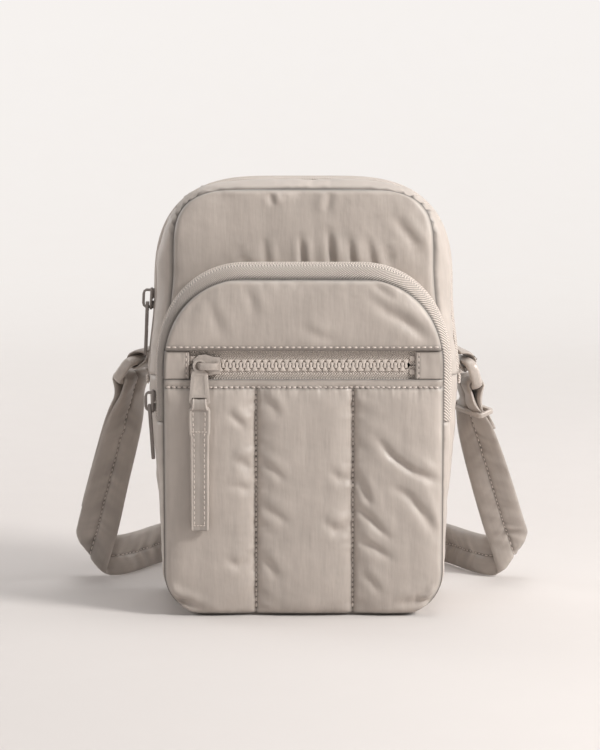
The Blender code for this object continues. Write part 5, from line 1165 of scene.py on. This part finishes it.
def front_tape(word, side):
    """One woven tape of the moulded zip, with a corded edge under the teeth."""
    open_at, far = 0.0018, 0.0112
    x = np.linspace(WINDOW_X[0] - TAPE_PAST_WINDOW, WINDOW_X[1] + TAPE_PAST_WINDOW, 240)[None]
    closed = ease((x - TAPES_MEET_X[1]) / 0.0015) + ease((TAPES_MEET_X[0] - x) / 0.0015)
    near = open_at - 0.00165 * closed
    d = mix(near, far, np.linspace(0, 1, 22)[:, None])
    x, d, near = np.broadcast_arrays(x, d, near)
    cord = 0.00035 * np.sqrt(np.clip(1 - ((d - near - 0.0006) / 0.0006) ** 2, 0, 1))
    y = TAPE_Y - cord + rumple(np.stack([x, d * 0, d], -1), 90.0, 31.0) * 0.00015
    z = CHAIN_Z + side * d
    outer, inner = np.stack([x, y, z], -1), np.stack([x, np.full_like(x, TAPE_Y + 0.0009), z], -1)
    made = closed_grid(f"front_tape_{word}", outer, inner, TAPE, np.stack([x, d], -1))
    ride(made, "bag", f"front_zip_{word}_chain")


def block(name, plan, bevel):
    """A plan outline made as thick as a tooth, with its edges rounded."""
    low, high = -0.0012, 0.0012
    work = bmesh.new()
    base = work.faces.new([work.verts.new((x, y, low)) for x, y in plan])
    top = bmesh.ops.extrude_face_region(work, geom=[base])
    lifted = [v for v in top["geom"] if isinstance(v, bmesh.types.BMVert)]
    bmesh.ops.translate(work, verts=lifted, vec=(0, 0, high - low))
    bmesh.ops.recalc_face_normals(work, faces=work.faces)
    bmesh.ops.bevel(work, geom=list(work.edges), offset=bevel, segments=2, profile=0.5,
                    affect="EDGES", clamp_overlap=True)
    mesh = bpy.data.meshes.new(name)
    work.to_mesh(mesh)
    work.free()
    mesh.shade_smooth()
    return bpy.data.objects.new(name, mesh)


head, neck, chamfer = 0.00078, 0.0005, 0.00028
half_plan = [(0.0012, 0.0029), (0.0012, 0.0019), (neck, 0.0005), (head, -0.0001),
             (head, -0.0015 + chamfer), (neck, -0.0015)]
tooth = block("tooth_unit", [(-x, y) for x, y in half_plan] + half_plan[::-1], 0.00018)
stop = block("stop_unit", [(-0.0013, 0.002), (0.0013, 0.002), (0.0013, 0.0048), (-0.0013, 0.0048)],
             0.0003)
teeth_y = TAPE_Y + 0.00045
upper_x, lower_x = -0.0470 + TOOTH_PITCH * np.arange(29), -0.04525 + TOOTH_PITCH * np.arange(28)
for word, xs, way in (("upper", upper_x, 1.0), ("lower", lower_x, -1.0)):
    for kind, unit, places in (("teeth", tooth, xs), ("stops", stop, STOPS_X)):
        spots = [(x, teeth_y, CHAIN_Z) for x in places]
        ride(repeat(f"{kind}_{word}", unit, spots, (way, 0, 0), (0, -1, 0), TEETH))
end_patch("left", WINDOW_X[0], -1, 21.0)
end_patch("right", WINDOW_X[1], 1, 22.0)
front_tape("upper", 1)
front_tape("lower", -1)

(left, right), (foot, head) = (-0.0627, 0.0617), (0.0600, 0.1409)
share = np.linspace(0, 1, 61)
u, v = np.meshgrid(share, share)
x, z = mix(left, right, u), mix(foot, head, v)
d = np.minimum(np.minimum(x - left, right - x), np.minimum(z - foot, head - z))
deep = -0.0311 + 0.0069 * ease(d / 0.007)
deep = deep + rumple(np.stack([x, d * 0, z], -1), 90.0, 41.0) * 0.0006
outer, inner = np.stack([x, deep + 0.0009, z], -1), np.stack([x, deep, z], -1)
pouch = closed_grid("pouch_lining", outer, inner, LINING, np.stack([x, z], -1))
ride(pouch, "bag", "zip_pouch")
print("teeth", len(upper_x) + len(lower_x))

# %% [markdown]
# **Sliders, pullers and adjuster.** These are castings and mouldings whose shape the model
# already has. Made anew they could drift away from it, so the solids themselves are taken and
# only their edges are rounded, as castings are.

# %% Sliders, pullers and adjuster
def softened(node, width, material, body):
    """A hard piece of the model with its sharp edges rounded."""
    work = bmesh.new()
    work.from_mesh(nodes[node].data)
    bmesh.ops.remove_doubles(work, verts=work.verts, dist=1e-6)
    bmesh.ops.dissolve_limit(work, angle_limit=math.radians(2.0), verts=work.verts,
                             edges=work.edges)
    sharp = [e for e in work.edges
             if len(e.link_faces) == 2 and e.calc_face_angle(0.0) > math.radians(28.0)]
    bmesh.ops.bevel(work, geom=sharp, offset=width, segments=2, profile=0.5, affect="EDGES",
                    clamp_overlap=True)
    mesh = bpy.data.meshes.new(f"{node}_rounded")
    work.to_mesh(mesh)
    work.free()
    only_material(mesh, material)
    mesh.shade_smooth()
    mesh.set_sharp_from_angle(angle=math.radians(42.0))
    return ride(placed(f"{node}_rounded", mesh), body, node)


for word, slider_edge, puller_edge, finish in (("front", 0.00022, 0.00020, CAST),
                                               ("main", 0.00018, 0.00022, DARK),
                                               ("pocket", 0.00018, 0.00022, DARK)):
    softened(f"{word}_zip_slider", slider_edge, finish, f"{word}_slider")
    softened(f"{word}_zip_puller", puller_edge, finish, f"{word}_puller")
# The adjuster has no body of its own here: it goes to the right fall of the strap, below, which
# bakes its place into its mesh.
adjuster = softened("strap_adjuster", 0.00035, COAT, None)

# %% [markdown]
# **Bands of cloth.** Strap, ring tabs and pull tab are flat bands with rounded edges, the strap
# with a sewn line down its middle. A curve with a bevel would twist at the folds, so each band
# follows centres and width directions that are given together.

# %% Bands along a path
def smooth_path(keys, steps):
    """A Catmull-Rom curve through keys of any numbers."""
    keys = np.array(keys, float)
    ends = np.vstack([2 * keys[0] - keys[1], keys, 2 * keys[-1] - keys[-2]])
    t = (np.arange(steps) / steps)[:, None]
    path = [0.5 * (2 * b + (c - a) * t + (2 * a - 5 * b + 4 * c - d) * t ** 2
                   + (3 * b - a - 3 * c + d) * t ** 3)
            for a, b, c, d in zip(ends, ends[1:], ends[2:], ends[3:])]
    return np.vstack([*path, keys[-1:]])


def band_rows(path, wall, columns):
    """The two faces of a flat band along a path of (centre, width direction, half width)."""
    centres, widths = np.array([p[0] for p in path]), np.array([p[1] for p in path], float)
    halves = np.array([p[2] for p in path])
    tangents = normed(np.gradient(centres, axis=0))
    widths = normed(widths - tangents * np.sum(widths * tangents, axis=1)[:, None])
    lift = np.cross(tangents, widths)[:, None] * wall / 2
    across = np.linspace(-1, 1, columns + 1)[None, :, None]
    middle = centres[:, None] + widths[:, None] * halves[:, None, None] * across
    return middle + lift, middle - lift


def band(name, top, low, material, puff, groove, wrinkle, seed, width, raised_edge_highlight=0.0):
    """A closed band between two faces, padded, with a sewn groove and soft puckers.

    Its last argument raises its edges and paints a highlight on them.
    """
    middle, way = (top + low) / 2, top - low
    half = np.linalg.norm(way, axis=-1, keepdims=True) / 2
    way = way / np.maximum(half * 2, 1e-9)
    u = np.linspace(-1, 1, top.shape[1])[None, :, None]
    centre = middle[:, middle.shape[1] // 2]
    run, u = np.broadcast_arrays(travelled(centre)[:, None, None], u)
    off = np.abs(u) * width / 2
    body = half * (0.22 + 0.78 * np.sqrt(np.clip(1 - np.abs(u) ** 7, 0, 1)))
    body = body + puff * np.sin(np.pi * np.clip(np.abs(u), 0, 1)) ** 0.8
    body = body - groove * np.exp(-(off / 0.0007) ** 2)
    rims = np.exp(-((np.abs(u) - 0.87) / 0.11) ** 2)
    body = body + raised_edge_highlight * 0.0005 * rims
    faces = []
    for sign in (1.0, -1.0):
        place = np.concatenate([run, u * width / 2 * 0.35, 0 * run + sign * 0.05], -1)
        on, beside, face = np.moveaxis(place, -1, 0)
        slanted = np.stack([on + 1.3 * beside, beside * 0.6, face], -1)
        soft = rumple(slanted, 130.0, seed + sign)[..., None]
        drawn = np.stack([on - 0.7 * off[..., 0], beside * 0.2, face], -1)
        pucker = rumple(drawn, 230.0, seed + 4 * sign)[..., None]
        lift = wrinkle * soft + 1.3 * wrinkle * pucker * np.exp(-off / 0.0055)
        thick = np.maximum(body + lift * np.sqrt(np.clip(1 - u ** 4, 0, 1)), 0.00012)
        faces.append(middle + way * sign * thick)
    flat = np.concatenate([run, u * width / 2], -1)
    # Painted shade along the sewn groove and in the puckers' valleys, and a painted highlight on
    # the raised edges.
    painted_shading = 0.55 * np.exp(-(off / 0.0006) ** 2) * (groove > 0) - 0.6 * raised_edge_highlight * rims
    if groove > 0:
        painted_shading = painted_shading + 0.35 * np.clip(-1.5 * pucker, -0.6, 1) * np.exp(-off / 0.0055)
    made = closed_grid(name, faces[0], faces[1], material, flat, painted_shading[..., 0], lined=False)
    return made, faces, way, float(run[-1, 0, 0])


def band_stitches(name, faces, way, pitch=0.0029, column=None, thick=0.00046, length=0.0020,
                  sides=(0, 1), first=0, last=None):
    """The sewn line along a band, in the middle unless a column is given, on each face."""
    column = faces[0].shape[1] // 2 if column is None else column
    return [sewn(f"{name}_{side}", faces[side][first:last, column],
                 way[first:last, column] * (1.0 if side == 0 else -1.0), pitch, length, thick)
            for side in sides]


# The pull tab folds through the puller's slot, and its two layers are sewn together.
pivot, tilt = np.array((-0.05155, -0.0359, 0.1265)), math.radians(10.0)
hang = np.array(((1, 0, 0), (0, math.cos(tilt), math.sin(tilt)),
                 (0, -math.sin(tilt), math.cos(tilt))))
slot_z, tab_length, loop, gap = -0.0188, 0.0635, 0.00186, 0.00068
layer = [(gap, -tab_length, 0.0088), (gap, -tab_length * 0.8, 0.0090),
         (gap, -tab_length * 0.5, 0.0092), (gap, -tab_length * 0.27, 0.0094),
         (gap, -tab_length * 0.22, 0.0104), (gap, -tab_length * 0.058, 0.0107),
         (loop * 0.92, -loop * 1.25, 0.0082), (loop, 0.0, 0.0072), (loop * 0.7, loop * 0.7, 0.0072)]
keys = [(-y, z, w) for y, z, w in layer] + [(0.0, loop, 0.0072)] + layer[::-1]
path = []
for y, z, w in smooth_path(keys, 14):
    point = pivot + hang @ np.array((0.0, y, slot_z))
    path.append((point + (0, -max(0.0, -z) * math.tan(tilt) * 0.12, z), (1.0, 0.0, 0.0), w / 2))
top, low = band_rows(path, 0.0010, 20)
tab, faces, way, run = band("pull_tab_cloth", top, low, TAB_NYLON, 0.00012, 0.0, 0.00014, 51.0,
                            0.0095, raised_edge_highlight=1.0)
ride(tab, "front_tab", "front_zip_pull_tab")
# Only the front layer is seen, so the stitches run up its face from the foot to the neck.
foot_row, bar_row, neck_row = 3, len(path) // 2 - 70, len(path) // 2 - 46
for word, column in (("left", 4), ("right", 15)):
    for made in band_stitches(f"tab_stitches_{word}", faces, way, 0.0026, column, 0.00042, 0.0019,
                              (1,), foot_row, neck_row):
        ride(made, "front_tab")
for word, row in (("foot", foot_row), ("middle", bar_row)):
    line = faces[1][row, 2:19] + (0, -0.0001, 0)
    stitches(f"tab_bar_{word}", line, 0.0016, 0.0014, 0.00042, "front_tab")
print("pull tab length", round(run, 4))

# %% [markdown]
# **Rings and their tabs.** Each end of the strap passes through a moulded oval ring that hangs
# from a short sewn tab. A stretched torus would have thin corners, so a rounded flat section is
# swept round a squared oval, and the tab is wrapped round its upper bar.

# %% Rings and tabs
WAIST = 0.0715
RING_LENGTH, RING_HEIGHT, RING_BAND, RING_BAR = 0.032, 0.017, 0.0055, 0.0034
STRAP_WIDTH, STRAP_WALL = 0.022, 0.0018


def ring_frame(centre, turn, lean, side):
    """Axes of a strap ring: along its bars, outwards, and down its height."""
    along = np.array((-side * math.sin(turn), math.cos(turn), 0.0))
    outward = np.array((side * math.cos(turn), math.sin(turn), 0.0))
    down = outward * math.sin(lean) + np.array((0.0, 0.0, -math.cos(lean)))
    return np.array(centre), along, outward, down


LEFT = ring_frame((-WAIST - 0.0153, 0.0330, 0.1175), math.radians(30), math.radians(38), -1)
RIGHT = ring_frame((WAIST + 0.0135, 0.0330, 0.1155), math.radians(15), math.radians(18), 1)


def squared(wave, power):
    """A sine or cosine bent so that a circle becomes a rounded square."""
    return np.sign(wave) * np.abs(wave) ** power


def strap_ring(word, frame_axes):
    """A moulded oval ring: a rounded flat section swept round a squared oval."""
    centre, along, outward, down = frame_axes
    through = np.cross(along, down)
    a = np.linspace(0, 2 * math.pi, 120, endpoint=False)
    x = (RING_LENGTH - RING_BAR) / 2 * squared(np.cos(a), 2 / 4.5)
    y = (RING_HEIGHT - RING_BAR) / 2 * squared(np.sin(a), 2 / 4.5)
    tangent = normed(np.stack([np.roll(x, -1) - np.roll(x, 1), np.roll(y, -1) - np.roll(y, 1)], 1))
    b = np.linspace(0, 2 * math.pi, 28, endpoint=False)
    out, side = RING_BAR / 2 * squared(np.cos(b), 0.75), RING_BAND / 2 * squared(np.sin(b), 0.75)
    ring_x, ring_y = x[:, None] + tangent[:, 1:] * out, y[:, None] - tangent[:, :1] * out
    points = centre + ring_x[..., None] * along + ring_y[..., None] * down
    points = points + (side[:, None] * through)[None]
    index = quads_of(*ring_x.shape)[0]
    after, turned = np.roll(index, -1, 0), np.roll(index, -1, 1)
    both = np.roll(after, -1, 1)
    faces = np.stack([index, turned, both, after], -1).reshape(-1, 4)
    made = solid(f"ring_{word}", points.reshape(-1, 3), faces, COAT)
    ride(made, f"{word}_ring", f"strap_ring_{word}")


def sewn_tab(word, frame_axes, side, seed):
    """The short band that holds a ring: out of the seam, round the upper bar and back."""
    centre, along, outward, down = frame_axes
    wall = 0.0014
    bar = centre - down * (RING_HEIGHT - RING_BAR) / 2
    radius, closed = RING_BAND / 2 + 0.0006 + wall / 2, (wall + 0.0003) / 2
    skin = float(main_outline(0.0282).half(0.1275))
    root = np.array((side * (skin + wall * 1.4), 0.0282, 0.1275))
    up = np.array((0.0, 0.0, 1.0))
    rise = root - bar
    slope = math.atan2(rise[2], math.hypot(rise[0], rise[1]))
    offset = up * math.cos(slope) + outward * math.sin(slope)
    slant = normed(np.array((-side * 0.45, 0.80, 0.40)))
    half = 0.010
    layer = []
    for share in np.linspace(0.3, 1.0, 22):
        spread = mix(radius, closed, share ** 2.4)
        layer.append((mix(bar, root, share), offset * spread, mix(along, slant, share ** 2.2),
                      mix(half, 0.0055, share)))
    path = [(middle + lift, wide, reach) for middle, lift, wide, reach in layer[::-1]]
    for angle in np.linspace(math.pi / 2, -math.pi / 2, 24) - slope:
        spot = bar + outward * radius * math.cos(angle) + up * radius * math.sin(angle)
        path.append((spot, along, half))
    path += [(middle - lift, wide, reach) for middle, lift, wide, reach in layer]
    top, low = band_rows(path, wall, 24)
    made, _, _, run = band(f"ring_tab_{word}", top, low, STRAP_NYLON, 0.0002, 0.0, 0.00025, seed,
                           2 * half)
    ride(made, "bag", f"strap_tab_{word}")
    print(f"ring tab {word}: {run * 1000:.0f} mm of band")


strap_ring("left", LEFT)
strap_ring("right", RIGHT)
sewn_tab("left", LEFT, -1, 61.0)
sewn_tab("right", RIGHT, 1, 62.0)

# %% [markdown]
# **Strap.** It falls from each ring to the floor, folds there and leads back behind the bag,
# where the rest lies in a zigzag; all of it is about 1.4 m long. A simulated strap would land
# somewhere else after each change, so its path is laid after the photograph.

# %% Strap
LEFT_KEYS = ((0.0215, 0.0378, 0.0960), (0.0247, 0.0410, 0.0830), (0.0335, 0.0495, 0.0500),
             (0.0387, 0.0600, 0.0290))
LEFT_TURNS = ((0.72, 0.69, 0.0), (0.87, 0.49, 0.0), (0.91, 0.34, -0.20), (0.957, 0.1, -0.27))
RIGHT_KEYS = ((0.0170, 0.0355, 0.0940), (0.0210, 0.0385, 0.0800), (0.0290, 0.0470, 0.0530),
              (0.0365, 0.0600, 0.0290))
RIGHT_TURNS = ((-0.62, 0.78, 0.0), (-0.88, 0.47, 0.0), (-0.95, 0.22, -0.18),
               (-0.957, 0.05, -0.28))
LEAD_KEYS = ((0.0250, 0.0725), (0.0180, 0.0850), (0.0120, 0.0980), (0.0060, 0.1090))
COLUMNS = 24
STANDING_Z = STRAP_WIDTH / 2 + 0.0004  # middle of the strap where it stands on edge
FOLD_RADIUS, FOLD_REACH, FALL_LEAN = 0.0022, 0.0140, math.radians(17.0)


def fold_rows(side, fold):
    """A diagonal fold: the band wraps half round a thin round edge and turns inwards."""
    heading = np.array((side * math.sin(FALL_LEAN), 0.0, -math.cos(FALL_LEAN)))
    width = np.array((-side * math.cos(FALL_LEAN), 0.0, -math.sin(FALL_LEAN)))
    axis = normed(heading + np.array((-side, 0.0, 0.0)))
    out = np.array((axis[2], 0.0, -axis[0]))
    out *= math.copysign(1.0, float(out @ heading))
    back = np.array((0.0, 1.0, 0.0))
    bend = FOLD_RADIUS * math.pi / 2
    low_z = STANDING_Z - out[2] * bend
    centre = np.array((fold[0] - out[0] * FOLD_RADIUS, fold[1], low_z))
    travel = FOLD_REACH * np.linspace(-1, 1, 49)[:, None, None]
    across = np.linspace(-0.5, 0.5, COLUMNS + 1)[None, :, None]
    spot = heading * travel + width * STRAP_WIDTH * across
    along, across = (spot @ axis)[..., None], (spot @ out)[..., None]
    faces = []
    for layer in (-side, side):
        radius = FOLD_RADIUS + layer * STRAP_WALL / 2
        angle = (across + bend) / FOLD_RADIUS
        turned = np.where(across < -bend, out * (across + bend) - back * radius,
                          np.where(across > bend, -out * (across - bend) + back * radius,
                                   out * radius * np.sin(angle) - back * radius * np.cos(angle)))
        faces.append(centre + axis * along + turned)
    return faces, width


def strap_fall(word, side, frame_axes, keys, turns, fold_out, two_layers, seed, carried=()):
    """One hanging end of the strap: through the ring, down, folded on the floor and led back.

    two_layers says how far down the strap's end lies against it; carried pieces get their place
    baked into their meshes with it.
    """
    centre, along, outward, down = frame_axes
    bar = centre + down * (RING_HEIGHT - RING_BAR) / 2
    radius = RING_BAND / 2 + 0.0003 + STRAP_WALL / 2
    up, half = np.array((0.0, 0.0, 1.0)), STRAP_WIDTH / 2
    folded_faces, fold_width = fold_rows(side, (side * (WAIST + fold_out), 0.0665))
    keys = [(side * (WAIST + out), y, z) for out, y, z in keys]
    entry = (folded_faces[0][0] + folded_faces[1][0]).mean(0) / 2
    leaving = (folded_faces[0][-1] + folded_faces[1][-1]).mean(0) / 2
    below = bar + down * radius * 0.4 - up * radius * 1.6
    table = smooth_path([(*bar, *along), (*below, *along)]
                        + [(*k, *t) for k, t in zip(keys, turns)] + [(*entry, *fold_width)], 16)
    centres, widths = table[:, :3], table[:, 3:]
    normals = normed(np.cross(normed(np.gradient(centres, axis=0)), widths) * side)
    run = travelled(centres)
    closed = (STRAP_WALL + 0.0003) / 2
    gaps = closed + (radius - closed) * np.exp(-run / (radius * 1.7))
    layers = list(zip(centres, normals, gaps, widths, run))
    path = [(c + n * g, w, half) for c, n, g, w, s in layers if radius < s < two_layers][::-1]
    for angle in np.linspace(0, math.pi, 24):
        spot = bar + outward * radius * math.cos(angle) + up * radius * math.sin(angle)
        path.append((spot, along, half))
    length = run[-1]
    path += [(c - n * g * (1 - ease((s - two_layers) / (length - two_layers))), w, half)
             for c, n, g, w, s in layers if radius < s < length - 0.0012]
    upper, lower = band_rows(path, STRAP_WALL, COLUMNS)
    lead_keys = [(side * (WAIST + out), y) for out, y in LEAD_KEYS]
    flat = smooth_path([leaving[:2]] + lead_keys, 12)[2:]
    lead = [(np.array((x, y, STANDING_Z)), (0.0, 0.0, -1.0), half) for x, y in flat]
    lead_upper, lead_lower = band_rows(lead, STRAP_WALL, COLUMNS)
    top = np.concatenate([upper, folded_faces[0], lead_upper])
    low = np.concatenate([lower, folded_faces[1], lead_lower])
    # The joins between the fall, the fold and the lead are blended into one soft bend.
    at = np.arange(len(top))[1:-1, None, None]
    joins = (len(upper), len(upper) + len(folded_faces[0]))
    soft = sum(np.exp(-((at - join) / 11.0) ** 2) for join in joins)
    for face in (top, low):
        for _ in range(70):
            face[1:-1] += soft * ((face[:-2] + face[2:]) / 2 - face[1:-1]) * 0.5
    made, faces, way, run = band(f"fall_{word}", top, low, STRAP_NYLON, 0.0006, 0.0007, 0.0011,
                                 seed, STRAP_WIDTH)
    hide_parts(f"strap_fall_{word}")
    rows = band_stitches(f"fall_stitches_{word}", faces, way)
    for piece in [made, *rows, *carried]:
        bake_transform(piece)
    print(f"fall {word}: {run * 1000:.0f} mm of strap")
    return run


total = strap_fall("left", -1, LEFT, LEFT_KEYS, LEFT_TURNS, 0.0431, 0.078, 71.0)
total += strap_fall("right", 1, RIGHT, RIGHT_KEYS, RIGHT_TURNS, 0.0415, 0.026, 72.0, [adjuster])


def stored_strap():
    """The put-away length: a zigzag of runs standing on edge behind the bag."""
    pitch, runs, rear_y = 0.008, 7, 0.1120
    radius = pitch / 2
    end_x, end_y = WAIST + LEAD_KEYS[-1][0], LEAD_KEYS[-1][1]
    half_length = end_x - 0.0255
    spots = [(-end_x + 0.0003, end_y + 0.0003), (-end_x + pitch * 0.5, end_y + radius * 0.9),
             (-end_x + pitch * 1.3, end_y + radius * 1.1)]
    for number in range(runs):
        way = 1 if number % 2 == 0 else -1
        y = rear_y - number * pitch
        spots += [(way * half_length * s, y) for s in (-1.0, -0.6, -0.2, 0.2, 0.6, 1.0)]
        if number < runs - 1:
            spots += [(way * (half_length + radius * math.sin(a)),
                       y - radius + radius * math.cos(a))
                      for a in (math.pi / 4, math.pi / 2, math.pi * 3 / 4)]
    front_y = rear_y - (runs - 1) * pitch
    out = end_x - pitch - radius
    spots += [(out - radius * 0.3, front_y + radius * 0.3), (out, front_y + radius * 1.3),
              (out, mix(front_y, end_y, 0.5)), (out, end_y - radius),
              (out + pitch * 0.3, end_y + radius * 0.5), (out + pitch * 0.7, end_y + radius),
              (end_x - radius * 0.4, end_y + radius * 0.7), (end_x - 0.0003, end_y + 0.0003)]
    path = [(np.array((x, y, STANDING_Z)), (0.0, 0.0, -1.0), STRAP_WIDTH / 2)
            for x, y in smooth_path(spots, 8)]
    top, low = band_rows(path, STRAP_WALL, 16)
    made, faces, way, run = band("stored_strap", top, low, STRAP_NYLON, 0.0003, 0.0004, 0.0002,
                                 73.0, STRAP_WIDTH)
    ride(made, "bag", "strap_stored")
    for piece in band_stitches("stored_stitches", faces, way):
        ride(piece)
    return run


total += stored_strap()
print(f"whole strap: {total:.2f} m")

# %% [markdown]
# **End bars and stitches.** Sewn bars close the lower ends of the main zip, and rows of thread
# hold the hems and the quilting. A dashed line in the colour could stand for the thread, but
# stitches catch the light, so each one is a small piece.

# %% End bars and stitches
def end_bar(word, side):
    """The sewn bar across the lower end of the main zip on one side."""
    half, rows, columns = 0.0066, 17, 45
    ys = np.linspace(MAIN_MIDDLE_Y - half, MAIN_MIDDLE_Y + half, columns)
    zs = np.linspace(0.1125, 0.1170, rows)
    outer, inner = np.empty((rows, columns, 3)), np.empty((rows, columns, 3))
    for j, y in enumerate(ys):
        skin = main_outline(y).half(zs) + 0.0003
        edge = min(j, columns - 1 - j) / (columns - 1) * 2 * half
        puffed = 0.0009 - rolled(np.minimum(np.minimum(zs - zs[0], zs[-1] - zs), edge), 0.0007)
        ribs = 0.00012 * math.cos(2 * math.pi * y / 0.0009)
        outer[:, j] = np.stack([side * (skin + 0.0003 + puffed + ribs), np.full(rows, y), zs], 1)
        inner[:, j] = np.stack([side * skin, np.full(rows, y), zs], 1)
    flat = np.stack(np.meshgrid(ys, zs), -1)
    made = closed_grid(f"end_bar_{word}", outer, inner, TAPE, flat)
    ride(made, "bag", f"main_zip_end_bar_{word}")


end_bar("left", -1)
end_bar("right", 1)


def panel_stitches(name, grid, x, z, pitch):
    """A row of stitches laid on a panel, at the depth of the nearest points of its grid."""
    x, z = np.broadcast_arrays(x, z)
    flat = grid.reshape(-1, 3)
    off_x, off_z = flat[None, :, 0] - x[:, None], flat[None, :, 2] - z[:, None]
    y = flat[np.argmin(off_x ** 2 + off_z ** 2, axis=1), 1] - 0.0002
    stitches(name, np.stack([x, y, z], 1), pitch, 0.0021, 0.00068)


across, up_the_seam = np.linspace(-HEM_HALF, HEM_HALF, 240), np.linspace(SEAM_FOOT, 0.1155, 200)
panel_stitches("hem_stitches_upper", upper_grid, across, TOP_HEM_Z, TOP_HEM_PITCH)
panel_stitches("hem_stitches_lower", quilt_grid, across, HEM_Z, HEM_PITCH)
for word, seam in zip(("left", "right"), QUILT):
    panel_stitches(f"quilt_stitches_{word}", quilt_grid, seam, up_the_seam, QUILT_PITCH)
